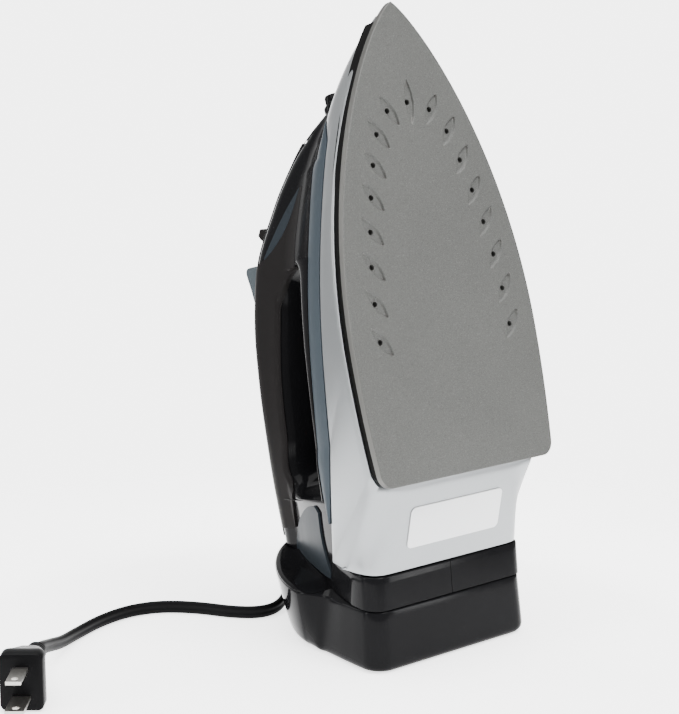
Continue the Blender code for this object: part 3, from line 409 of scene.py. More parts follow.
@dataclass
class Maker:
    """Turns arrays of points into closed, outward-facing pieces of the model."""

    body: str = ROOT

    def solid(self, name: str, points: Array, faces: list[list[int]], crease: float = 38.0,
              bevel: float = 0.0) -> Object:
        """Make a closed mesh piece.

        Args:
            name: Name of the piece.
            points: Points in mm, any leading shape.
            faces: Corner numbers of each face.
            crease: Angle in degrees above which an edge is shaded sharp.
            bevel: Width in mm of a bevel on sharp edges, or 0.

        Returns:
            The new object, already in the scene.
        """
        mesh = bpy.data.meshes.new(name)
        mesh.from_pydata((np.asarray(points).reshape(-1, 3) * MM).tolist(), [], faces)
        bm = bmesh.new()
        bm.from_mesh(mesh)
        bmesh.ops.remove_doubles(bm, verts=bm.verts, dist=2e-6)
        bmesh.ops.dissolve_degenerate(bm, edges=bm.edges, dist=1e-6)
        bmesh.ops.recalc_face_normals(bm, faces=bm.faces)
        bm.to_mesh(mesh)
        bm.free()
        mesh.shade_smooth()
        mesh.set_sharp_from_angle(angle=math.radians(crease))
        piece = bpy.data.objects.new(name, mesh)
        bpy.context.scene.collection.objects.link(piece)
        if bevel:
            change = piece.modifiers.new("soft edges", "BEVEL")
            change.width = bevel * MM
            change.segments = 2
            change.limit_method = "ANGLE"
            change.angle_limit = math.radians(50)
            change.harden_normals = True
        return piece

    def loft(self, name: str, rings: Array, **looks: float) -> Object:
        """Join closed rings in order, with a flat face over each end.

        Args:
            name: Name of the piece.
            rings: Points in mm, one row for each ring.
            looks: Shading and bevel values for solid().

        Returns:
            The new object.
        """
        rows, columns = rings.shape[:2]
        faces = quads(rows, columns, False, True).tolist()
        faces += [list(range(columns)), [(rows - 1) * columns + i for i in range(columns)]]
        return self.solid(name, rings, faces, **looks)

    def hoop(self, name: str, sections: Array, **looks: float) -> Object:
        """Join closed sections into a loop, as a tyre is."""
        rows, columns = sections.shape[:2]
        return self.solid(name, sections, quads(rows, columns, True, True).tolist(), **looks)

    def shell(self, name: str, outer: Array, thick: float, inside: Sequence[float], **looks: float) -> Object:
        """Give a grid of surface points a thickness and close its rim.

        The inner grid is the outer one moved along its unit normals, the cross
        product of its two grid directions, towards a point inside the object.

        Args:
            name: Name of the piece.
            outer: Grid of points on the visible side, in mm.
            thick: Thickness in mm.
            inside: A point in mm on the hidden side.
            looks: Shading and bevel values for solid().

        Returns:
            The new object.
        """
        du, dv = np.gradient(outer, axis=0), np.gradient(outer, axis=1)
        normal = np.cross(du, dv)
        normal /= np.maximum(np.linalg.norm(normal, axis=-1, keepdims=True), 1e-9)
        towards = np.asarray(inside, float) - outer
        sign = 1.0 if float((normal * towards).sum(-1).mean()) > 0 else -1.0
        inner = outer + normal * thick * sign
        rows, columns = outer.shape[:2]
        front = quads(rows, columns, False, False)
        size = rows * columns
        loop = np.concatenate([np.arange(columns), np.arange(1, rows) * columns + columns - 1,
                               (rows - 1) * columns + np.arange(columns - 2, -1, -1),
                               np.arange(rows - 2, 0, -1) * columns])
        after = np.roll(loop, -1)
        rim = np.stack([loop, after, after + size, loop + size], -1)
        faces = np.concatenate([front, front + size, rim]).tolist()
        return self.solid(name, np.stack([outer, inner]), faces, **looks)

    def fit(self, piece: Object, look: Material, slot: str, *nodes: str, body: str = "") -> Object:
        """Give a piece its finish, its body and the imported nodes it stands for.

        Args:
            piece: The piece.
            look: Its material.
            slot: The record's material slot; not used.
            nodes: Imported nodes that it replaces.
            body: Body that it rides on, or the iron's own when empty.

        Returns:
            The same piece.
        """
        piece.data.materials.clear()
        piece.data.materials.append(look)
        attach(piece, body or self.body)
        if nodes:
            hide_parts(*nodes)
        LOG.info("%s: %d faces", piece.name, len(piece.data.polygons))
        return piece


# ---------------------------------------------------------------- materials

Value = Union[float, "Signal"]


@dataclass
class Signal:
    """An output socket whose arithmetic adds Math nodes."""

    nodes: "Nodes"
    socket: bpy.types.NodeSocket

    def _math(self, operation: str, a: Value, b: Value) -> "Signal":
        """Add one Math node over two values."""
        return self.nodes.node("ShaderNodeMath", {"operation": operation}, {0: a, 1: b})

    def __add__(self, other: Value) -> "Signal":
        """Sum of two values."""
        return self._math("ADD", self, other)

    __radd__ = __add__

    def __sub__(self, other: Value) -> "Signal":
        """Difference of two values."""
        return self._math("SUBTRACT", self, other)

    def __rsub__(self, other: Value) -> "Signal":
        """A number less this value."""
        return self._math("SUBTRACT", other, self)

    def __mul__(self, other: Value) -> "Signal":
        """Product of two values."""
        return self._math("MULTIPLY", self, other)

    __rmul__ = __mul__


class Nodes:
    """Adds nodes to the tree of a material or of the world."""

    def __init__(self, owner: Any) -> None:
        """Turn the owner's nodes on and keep its tree."""
        owner.use_nodes = True
        self.tree = owner.node_tree

    def node(self, kind: str, settings: dict[str, Any], inputs: dict[Any, Any],
             output: Union[int, str] = 0) -> Signal:
        """Add a node.

        Args:
            kind: The node's type.
            settings: The node's own attributes, set first.
            inputs: Socket names or numbers, each with a value or a Signal.
            output: The output to return.

        Returns:
            That output as a Signal.
        """
        made = self.tree.nodes.new(kind)
        for key, value in settings.items():
            setattr(made, key, value)
        for key, value in inputs.items():
            self.feed(made.inputs[key], value)
        return Signal(self, made.outputs[output])

    def feed(self, socket: bpy.types.NodeSocket, value: Any) -> None:
        """Link a Signal to a socket, or set the socket's own value."""
        if isinstance(value, Signal):
            self.tree.links.new(value.socket, socket)
        else:
            socket.default_value = value


class Recipe(Nodes):
    """Builds one material's nodes."""

    def __init__(self, name: str) -> None:
        """Start a material with only its surface shader and output."""
        self.material = bpy.data.materials.new(name)
        super().__init__(self.material)
        self.shader = self.tree.nodes["Principled BSDF"]
        self.places = self.node("ShaderNodeTexCoord", {}, {}, "Object")

    def noise(self, scale: float, detail: float = 3.0, stretch: Sequence[float] = (1, 1, 1)) -> Signal:
        """Noise between 0 and 1, its scale in cells per metre."""
        place = self.node("ShaderNodeMapping", {}, {"Vector": self.places, "Scale": stretch})
        return self.node("ShaderNodeTexNoise", {}, {"Vector": place, "Scale": scale, "Detail": detail})

    def mix(self, factor: Value, first: Sequence[float], second: Sequence[float]) -> Signal:
        """Blend two colours."""
        return self.node("ShaderNodeMix", {"data_type": "RGBA"},
                         {0: factor, 6: (*first, 1.0), 7: (*second, 1.0)}, 2)

    def ramp(self, value: Signal, low: float, high: float) -> Signal:
        """Stretch the part of a value between low and high over 0 to 1."""
        return self.node("ShaderNodeMapRange", {}, {0: value, 1: low, 2: high})

    def bump(self, height: Signal, strength: float, distance: float) -> Signal:
        """A normal bent by a height, distance in metres."""
        return self.node("ShaderNodeBump", {}, {"Strength": strength, "Distance": distance, "Height": height})

    def surface(self, values: dict[str, Any]) -> Material:
        """Set or link the surface shader's sockets.

        Args:
            values: Socket names, each with a value or a Signal.

        Returns:
            The finished material.
        """
        for key, value in values.items():
            self.feed(self.shader.inputs[key], value)
        return self.material


def shade(colour: Sequence[float], factor: float) -> tuple[float, ...]:
    """A colour made lighter or darker."""
    return tuple(min(channel * factor, 1.0) for channel in colour)


@dataclass(frozen=True)
class Moulded:
    """A moulded plastic or rubber: slow mottling, a fine grain and worn gloss."""

    name: str
    colour: tuple
    rough: float
    rough_spread: float = 0.06
    grain: float = 0.0
    grain_scale: float = 2200.0
    mottle: float = 0.12
    metal: float = 0.0
    ior: float = 1.2

    def build(self) -> Material:
        """Base colour from slow noise, roughness from smears, bump from fine noise."""
        r = Recipe(self.name)
        slow = r.noise(38.0, 4.0)
        smear = r.noise(120.0, 5.0, (1, 1, 0.35))
        values = {
            "Base Color": r.mix(slow, shade(self.colour, 1 - self.mottle), shade(self.colour, 1 + self.mottle)),
            "Roughness": self.rough + (r.ramp(smear, 0.35, 0.75) - 0.5) * self.rough_spread,
            "Metallic": self.metal,
            "IOR": self.ior,
        }
        if self.grain:
            values["Normal"] = r.bump(r.noise(self.grain_scale, 2.0), self.grain, 0.00006)
        return r.surface(values)


@dataclass(frozen=True)
class SatinSilver:
    """Metallic paint: tiny flakes that vary its brightness, under a satin coat."""

    name: str = "satin_silver"
    colour: tuple = (0.265, 0.277, 0.285)

    def build(self) -> Material:
        """Flakes from a fine Voronoi colour, slow cloudiness from noise."""
        r = Recipe(self.name)
        flake = r.node("ShaderNodeTexVoronoi", {}, {"Vector": r.places, "Scale": 3800.0}, "Color")
        glint = r.node("ShaderNodeSeparateColor", {}, {0: flake})
        tone = glint * 0.35 + r.noise(45.0, 3.0) * 0.65
        return r.surface({
            "Base Color": r.mix(tone, shade(self.colour, 0.94), shade(self.colour, 1.05)),
            "Roughness": 0.30 + r.noise(300.0, 3.0) * 0.08,
            "Metallic": 0.90,
            "Coat Weight": 0.15,
            "Coat Roughness": 0.18,
            "Normal": r.bump(glint, 0.03, 0.00004),
        })


@dataclass(frozen=True)
class SoleCoating:
    """The sole's warm grey coating, finely speckled."""

    name: str = "sole_coating"
    colour: tuple = (0.064, 0.065, 0.061)

    def build(self) -> Material:
        """Light and dark specks from the two ends of a fine noise, over slow cloudiness."""
        r = Recipe(self.name)
        fine = r.noise(2600.0, 2.0)
        light = r.ramp(fine, 0.56, 0.72)
        dark = r.ramp(fine, 0.45, 0.30)
        cloud = r.noise(22.0, 3.0)
        tone = cloud * 0.3 + light * 0.9 - dark * 0.5 + 0.30
        return r.surface({
            "Base Color": r.mix(tone, shade(self.colour, 0.66), shade(self.colour, 1.5)),
            "Roughness": 0.46 + fine * 0.14,
            "Metallic": 0.25,
            "Normal": r.bump(fine, 0.16, 0.00006),
        })


@dataclass(frozen=True)
class Metal:
    """Plain metal with drawn or turned marks."""

    name: str
    colour: tuple
    rough: float
    stretch: tuple = (1.0, 1.0, 18.0)

    def build(self) -> Material:
        """Roughness and bump from noise stretched along the marks."""
        r = Recipe(self.name)
        marks = r.noise(900.0, 3.0, self.stretch)
        return r.surface({
            "Base Color": r.mix(marks, shade(self.colour, 0.85), shade(self.colour, 1.1)),
            "Roughness": self.rough + marks * 0.12,
            "Metallic": 1.0,
            "Normal": r.bump(marks, 0.05, 0.00005),
        })


class Finishes:
    """Every finish of the iron, made once."""

    def __init__(self) -> None:
        """Build the materials by name."""
        recipes = (
            SatinSilver(), SoleCoating(),
            Moulded("gloss_black", (0.0045, 0.0045, 0.005), 0.11, 0.05, mottle=0.15, ior=1.12),
            Moulded("satin_grip", (0.0100, 0.0092, 0.0092), 0.34, 0.08, grain=0.10, grain_scale=1800, ior=1.09),
            Moulded("slate", (0.036, 0.045, 0.053), 0.34, 0.06, grain=0.05, ior=1.06),
            Moulded("dark_slate", (0.017, 0.021, 0.025), 0.32, 0.06, grain=0.05, ior=1.08),
            Moulded("button_teal", (0.050, 0.060, 0.066), 0.38, 0.06, grain=0.06, ior=1.15),
            Moulded("cord_black", (0.0042, 0.0042, 0.0045), 0.36, 0.10, grain=0.12, grain_scale=1500, ior=1.1),
            Moulded("gasket_black", (0.004, 0.004, 0.004), 0.6, 0.08, ior=1.1),
            Moulded("label_film", (0.72, 0.73, 0.74), 0.30, 0.04, mottle=0.02, metal=0.1, ior=1.4),
            Moulded("red_silicone", (0.35, 0.10, 0.07), 0.6, 0.08, grain=0.1),
            Moulded("clear_moulding", (0.42, 0.47, 0.50), 0.18, 0.05, ior=1.4),
            Moulded("ceramic", (0.72, 0.70, 0.65), 0.45, 0.1, grain=0.08),
            Moulded("red_lens", (0.45, 0.015, 0.01), 0.12, 0.03, ior=1.45),
            Metal("sole_edge", (0.12, 0.119, 0.113), 0.42),
            Metal("cast_alloy", (0.58, 0.58, 0.58), 0.48, (1, 1, 1)),
            Metal("steel", (0.55, 0.55, 0.56), 0.26),
            Metal("nickel", (0.42, 0.41, 0.385), 0.24),
            Metal("brass", (0.68, 0.50, 0.24), 0.30),
        )
        self.made = {recipe.name: recipe.build() for recipe in recipes}

    def __getitem__(self, name: str) -> Material:
        """The finish of that name."""
        return self.made[name]


# ------------------------------------------------------------ sole and silver

@dataclass
class SolePlate:
    """The sole plate with its chevron of steam vents."""

    maker: Maker
    finishes: Finishes
    across: int = 270
    vent_radius: float = 1.35
    vent_depth: float = 2.6
    recess: float = 0.9
    recess_half: float = 2.7
    offset: float = 0.7
    pairs: tuple = ((12.62, 254.03), (21.08, 243.8), (26.15, 230.29), (30.46, 216.09), (34.15, 201.17),
                    (36.89, 185.88), (38.74, 169.87), (39.4, 153.22))

    def vents(self) -> list[tuple[float, float, float, float]]:
        """List the vents: one at the front, then the pairs, which turn less towards the tip.

        Returns:
            Each vent's x, station, turn in radians and half length.
        """
        found = [(0.0, 257.68, -0.05, 10.4)]
        for x, s in self.pairs:
            turn = 0.66 - 0.07 * float(smoothstep(240, 256, s))
            found += [(x, s, -turn, 8.4), (-x, s, turn, 8.6)]
        return found

    def sunk(self, x: Array, s: Array, holes: bool = True) -> Array:
        """Depth of the face under each point: a pointed lens and a round hole for each vent.

        A lens is deep where 1 - (a/L)^2 - |b|/B is large, with a along it and b across.

        Args:
            x, s: Places on the face, of one shape.
            holes: Whether the round holes are counted.

        Returns:
            The depth at each place.
        """
        depth = np.zeros_like(x)
        for x0, s0, turn, half in self.vents():
            dx, ds = x - x0 - self.offset, s - s0
            along = ds * math.cos(turn) - dx * math.sin(turn)
            across = dx * math.cos(turn) + ds * math.sin(turn)
            lens = 1 - (along / half) ** 2 - np.abs(across) / self.recess_half
            slope = 0.85 + 0.15 * clamp01(0.5 + across / (2.2 * self.recess_half))
            bowl = smoothstep(0.0, 0.20, lens) * self.recess * slope
            hole = (np.hypot(x - x0, ds) < self.vent_radius + 0.3) if holes else 0.0
            depth = np.maximum(depth, bowl + hole * self.vent_depth)
        return depth

    def bushes(self) -> None:
        """A round ring at each vent's mouth, all in one piece: a small section spun about each hole."""
        sides = 28
        a = np.linspace(0, 2 * np.pi, sides, endpoint=False)
        points, faces = [], []
        for x0, s0, _, _ in self.vents():
            floor = float(self.sunk(np.array([x0]), np.array([s0]), holes=False)[0])
            steps = ((1.3, 2.8), (1.3, 0.1), (1.42, -0.02), (1.95, 0.0), (2.0, 2.8))
            rings = [iron_to_stand(x0 + r * np.cos(a), s0 + r * np.sin(a), floor + h) for r, h in steps]
            faces.append(quads(sides, len(steps), True, True) + sides * len(steps) * len(points))
            points.append(np.stack(rings, 1))
        piece = self.maker.solid("vent_mouths", np.stack(points), np.concatenate(faces).tolist(), crease=40)
        self.maker.fit(piece, self.finishes["sole_coating"], "sole_plate")

    def build(self) -> None:
        """Carry a flat, edge-rounded cross-section from the rear edge to the tip."""
        back, tip, corner, edge = FORM.sole_back, FORM.sole_tip, 6.0, 0.55
        grow = np.concatenate([[0.0, 0.12, 0.5], np.linspace(0.9, 6.0, 14)])
        nose = 269.0 + (tip - 269.0) * np.sin(0.5 * np.pi * np.arange(48) / 48)
        s = np.concatenate([back + grow, np.linspace(99.0, 143.0, 22), np.linspace(144.0, 268.5, 250), nose,
                            [tip - 0.02]])
        half = FORM.sole_half(s)
        inner = np.clip(corner - (s - back), 0, corner)
        half = np.maximum(half - corner + np.sqrt(corner ** 2 - inner ** 2), 0.02)
        lift = np.concatenate([[0.5, 0.16, 0.02], np.zeros(len(s) - 3)])
        u = np.linspace(1, -1, self.across)
        face_half = np.maximum(half - edge, half * 0.3)
        x = face_half[:, None] * u[None, :]
        station = np.broadcast_to(s[:, None], x.shape)
        h = self.sunk(x, station) + lift[:, None]
        sides = []
        for share, height in ((1.0, FORM.sole_thick), (1.0, 0.6), (0.72, 0.17), (0.3, 0.04)):
            sides.append((face_half + (half - face_half) * share, np.maximum(height, lift)))
        right = [iron_to_stand(w, s, k) for w, k in sides]
        left = [iron_to_stand(-w, s, k) for w, k in reversed(sides)]
        rings = np.concatenate([np.stack(right, 1), iron_to_stand(x, station, h), np.stack(left, 1)], axis=1)
        plate = self.maker.loft("sole_plate_fine", rings, crease=30)
        self.maker.fit(plate, self.finishes["sole_coating"], "sole_plate", "soleplate")
        plate.data.materials.append(self.finishes["sole_edge"])
        # third slot: black, for the painted shade inside the vent holes
        plate.data.materials.append(self.finishes["gasket_black"])
        self.dress(plate)
        self.bushes()

    def dress(self, plate: Object) -> None:
        """Give the plate bare metal on its edge and back, and painted shade inside its holes: their deep walls take a
        black finish.

        Args:
            plate: The sole plate, whose slots are coating, bare metal and black for the painted shade in the holes.
        """
        mesh = plate.data
        count = len(mesh.polygons)
        centre, normal = np.empty(count * 3), np.empty(count * 3)
        mesh.polygons.foreach_get("center", centre)
        mesh.polygons.foreach_get("normal", normal)
        centre, normal = centre.reshape(-1, 3) / MM, normal.reshape(-1, 3)
        up = np.array([0.0, math.cos(LEAN), -math.sin(LEAN)])
        height = (centre + np.array([0, HEEL_CENTRE, 0])) @ up
        facing = normal @ up
        coated, bare, dark = range(3)
        slot = np.full(count, coated, np.int32)
        slot[(facing > -0.55) & (height > 0.12)] = bare
        x, s = centre[:, 0], (centre + np.array([0, HEEL_CENTRE, 0])) @ np.array([0, math.sin(LEAN), math.cos(LEAN)])
        for x0, s0, _, _ in self.vents():
            near = np.hypot(x - x0, s - s0)
            slot[(near < 7) & (height < 2.7) & (slot == bare)] = coated
            # painted shade: the deep walls of each vent hole get the black slot
            slot[(near < self.vent_radius + 0.5) & (height > 1.6)] = dark
        mesh.polygons.foreach_set("material_index", slot)


@dataclass
class SilverCover:
    """The silver lower cover, its gasket line and the blank rating plate."""

    maker: Maker
    finishes: Finishes
    thick: float = 1.8
    rows: int = 20
    part_line: float = 43.6
    knots: int = 60

    def edges(self) -> tuple[Array, Array]:
        """Lower and upper edges of the right half: stations eased by a cosine, then design points.

        Returns:
            Both edges from the nose to the rear centre, each point an x, a station and a height.
        """
        t = np.linspace(0, 1, self.knots)
        s_low = 300.0 - 203.0 * (1 - np.cos(0.5 * np.pi * t))
        x_low = np.maximum(FORM.sole_half(s_low) - 2.8, 0)
        x_low[0] = 0
        lower = np.stack([x_low, s_low, 8.0 + 2.7 * smoothstep(0.25, 0.6, t)], -1)
        s_up = FORM.nose + 1.2 - (FORM.nose + 1.2 - 60.5) * (1 - np.cos(0.5 * np.pi * t))
        x_up, h_up = FORM.silver_rim(s_up)
        x_up[0] = 0
        upper = np.stack([x_up, s_up, h_up], -1)
        w = float(FORM.sole_half(91.0))
        tail = [(w - 3.4, 93.2, 9.6), (w - 4.8, 91.0, 8.6), (w - 7.4, 89.6, 7.8), (w - 11.0, 89.1, 7.6),
                (30.0, 89.0, 7.6), (12.0, 89.0, 7.6), (0.0, 89.0, 7.6)]
        drop = [(46.4, 45.4), (46.9, 40.0), (46.6, 33.0), (45.0, 28.4), (41.5, 25.7), (36.0, 24.9), (20.0, 24.8),
                (0.0, 24.8)]
        upper = np.concatenate([upper, [(x, float(level_station(self.part_line, h)), h) for x, h in drop]])
        lower = np.concatenate([lower, tail])
        return self.matched(lower), self.matched(upper)

    def matched(self, edge: Array) -> Array:
        """Sample an edge so that corner meets corner: flank first, then the rear face."""
        flank, rear = resample(edge[:self.knots], 220), resample(edge[self.knots - 1:], 70)
        return np.concatenate([flank, rear[1:]])

    def build(self) -> None:
        """Ruled surface from edge to edge, swelled by 4t(1 - t) across its height."""
        lower, upper = self.edges()
        t = np.linspace(0, 1, self.rows)[None, :, None]
        grid = lower[:, None, :] * (1 - t) + upper[:, None, :] * t
        along = np.gradient(grid[..., :2], axis=0)
        out = np.stack([-along[..., 1], along[..., 0]], -1)
        out /= np.maximum(np.linalg.norm(out, axis=-1, keepdims=True), 1e-9)
        out *= np.sign((out * (grid[..., :2] - np.array([0.0, 170.0]))).sum(-1, keepdims=True) + 1e-9)
        u = np.linspace(0, 1, len(lower))[:, None, None]
        swell = 4 * t * (1 - t) * (1.9 * (1 - smoothstep(0.0, 0.25, u)) + 0.9) * (1 - smoothstep(0.80, 0.88, u))
        grid[..., :2] += out * swell
        lip = 0.5 * (smoothstep(0.03, 0.0, t) + smoothstep(0.97, 1.0, t))
        grid[..., :2] -= out * lip
        inner = grid.copy()
        inner[..., :2] -= out * self.thick
        for side in (grid, inner):
            side[0, :, 0] = 0
            side[-1, :, 0] = 0
            side[..., 0] = np.maximum(side[..., 0], 0)
        section = np.concatenate([grid, inner[:, ::-1]], axis=1)
        mirror = section[1:-1][::-1] * np.array([-1, 1, 1])
        loop = np.concatenate([section, mirror])
        cover = self.maker.hoop("silver_cover", iron_to_stand(loop[..., 0], loop[..., 1], loop[..., 2]), crease=50)
        self.maker.fit(cover, self.finishes["satin_silver"], "silver_plastic", "metal_skirt")
        self.gasket()
        self.label()

    def gasket(self) -> None:
        """The black joint between sole plate and silver cover: a thin wall round the outline."""
        outer, inner = FORM.outline(4.0, 93.5, 296.0), FORM.outline(7.0, 97.0, 291.0)
        heights = ((outer, 3.3), (outer, 12.5), (inner, 12.5), (inner, 3.3))
        sections = np.stack([iron_to_stand(loop[:, 0], loop[:, 1], h) for loop, h in heights], 1)
        ring = self.maker.hoop("joint_gasket", sections)
        self.maker.fit(ring, self.finishes["gasket_black"], "silicone", "skirt_gasket")

    def label(self) -> None:
        """A blank plate with rounded corners on the sloping rear face."""
        ring = rounded_rectangle(28.0, 9.8, 2.6, 48, np.pi / 4)
        slope = np.array([0, 52.2 - 89.0, 24.8 - 7.6])
        slope /= np.linalg.norm(slope)
        out = np.array([0, -slope[2], slope[1]])
        out *= -np.sign(out[1])
        base = np.array([-0.6, 71.0, 7.6 + 18.0 * 17.2 / 36.8])
        rings = []
        for shrink, lift in ((1.0, 0.12), (1.0, 0.45), (0.988, 0.6)):
            p = base + ring[:, :1] * shrink * np.array([1.0, 0, 0]) + ring[:, 1:] * shrink * slope + out * lift
            rings.append(iron_to_stand(p[:, 0], p[:, 1], p[:, 2]))
        plate = self.maker.loft("blank_label", np.stack(rings), crease=30)
        self.maker.fit(plate, self.finishes["label_film"], "label", "rating_plate")


@dataclass
class SideStrips:
    """The blue grey strips between the silver and the black covers."""

    maker: Maker
    finishes: Finishes
    first: float = 78.0
    last: float = 256.4
    gap: float = 0.35

    def build(self) -> None:
        """A ruled band from the silver rim to the black edge, bowed out by a half sine."""
        s = np.linspace(self.first, self.last, 150)
        low_x, low_h = FORM.silver_rim(s)
        high_x, high_h = FORM.base_half(s), FORM.base_height(s)
        t = np.linspace(0, 1, 12)[None, :]
        low_h, high_h = low_h + self.gap, np.maximum(high_h - self.gap, low_h + self.gap + 0.25)
        x = low_x[:, None] * (1 - t) + high_x[:, None] * t + 0.7 * np.sin(np.pi * t)
        h = low_h[:, None] * (1 - t) + high_h[:, None] * t
        for side in Side:
            grid = iron_to_stand(side.value * x, s[:, None], h)
            strip = self.maker.shell(f"slate_strip_{side.word}", grid, 1.5, (0, 0, 150), bevel=0.3)
            self.maker.fit(strip, self.finishes["slate"], "slate", f"side_strip_{side.word}")


# ------------------------------------------------------------ tank and handle

@dataclass
class TankCover:
    """The gloss black deck and nose over the tank, with the spray nozzle."""

    maker: Maker
    finishes: Finishes
    side_points: int = 40

    def deck_ring(self, s: Array) -> Array:
        """Super-elliptic arch from the strip's edge up to the flat deck: powers 0.8 of sine and cosine.

        Args:
            s: Stations.

        Returns:
            A closed ring of points at each station.
        """
        a = np.linspace(0, np.pi / 2, self.side_points)
        low = FORM.base_height(s)[:, None] + 0.2
        rise = 10 - np.sqrt(np.clip(100 - np.clip(s - 188, 0, 9.9) ** 2, 0, None))
        top = (FORM.deck + rise * smoothstep(188, 189, s))[:, None]
        x = FORM.base_half(s)[:, None] * np.cos(a) ** 0.8
        return self.closed(x, s, low + (top - low) * np.sin(a) ** 0.8)

    def post_ring(self, s: Array) -> Array:
        """Flanks of the handle's front down to the strip, closed at the seam line.

        Args:
            s: Stations.

        Returns:
            A closed ring of points at each station.
        """
        low = FORM.base_height(s)[:, None] + 0.2
        top = np.minimum(FORM.seam(s) - 0.25, RIDGE(s) - 0.02)[:, None]
        t = np.linspace(0, 1, self.side_points)
        h = low + (np.maximum(top, low + 0.5) - low) * t
        x = FORM.handle_side(s[:, None], h)
        x[:, -1] = np.where(top[:, 0] >= RIDGE(s) - 0.1, 0.0, x[:, -1])
        return self.closed(x, s, h)

    @staticmethod
    def closed(x: Array, s: Array, h: Array) -> Array:
        """Join a right half to its mirror image as one closed ring at each station."""
        x, h = np.concatenate([x, -x[:, ::-1]], 1), np.concatenate([h, h[:, ::-1]], 1)
        return iron_to_stand(x, s[:, None], h)

    def build(self) -> None:
        """Deck rings, then the post's rings to the nose."""
        deck = self.deck_ring(np.linspace(88.2, 197.7, 90))
        front = np.concatenate([np.linspace(198.2, 258, 60), 258 + 15.6 * np.sin(np.linspace(0.05, np.pi / 2, 26))])
        cover = self.maker.loft("black_tank_cover", np.concatenate([deck, self.post_ring(front)]), crease=42)
        self.maker.fit(cover, self.finishes["gloss_black"], "gloss_black", "tank_cover")
        self.nozzle()

    def nozzle(self) -> None:
        """A turned nozzle with a collar and a small bore, its profile spun about its axis."""
        profile = ((5.4, -3.0), (5.4, 5.5), (5.0, 6.3), (3.9, 7.2), (3.7, 10.6), (3.2, 11.5), (1.3, 11.7), (0.9, 11.4),
                   (0.8, 8.0))
        start = iron_to_stand(0, 262.0, 49.4)
        axis = iron_to_stand(0, 273.6, 51.5) - start
        rings = turned_rings(start, axis, profile, 40)
        piece = self.maker.loft("spray_nozzle_fine", rings, crease=40)
        self.maker.fit(piece, self.finishes["gloss_black"], "gloss_black", "spray_nozzle")


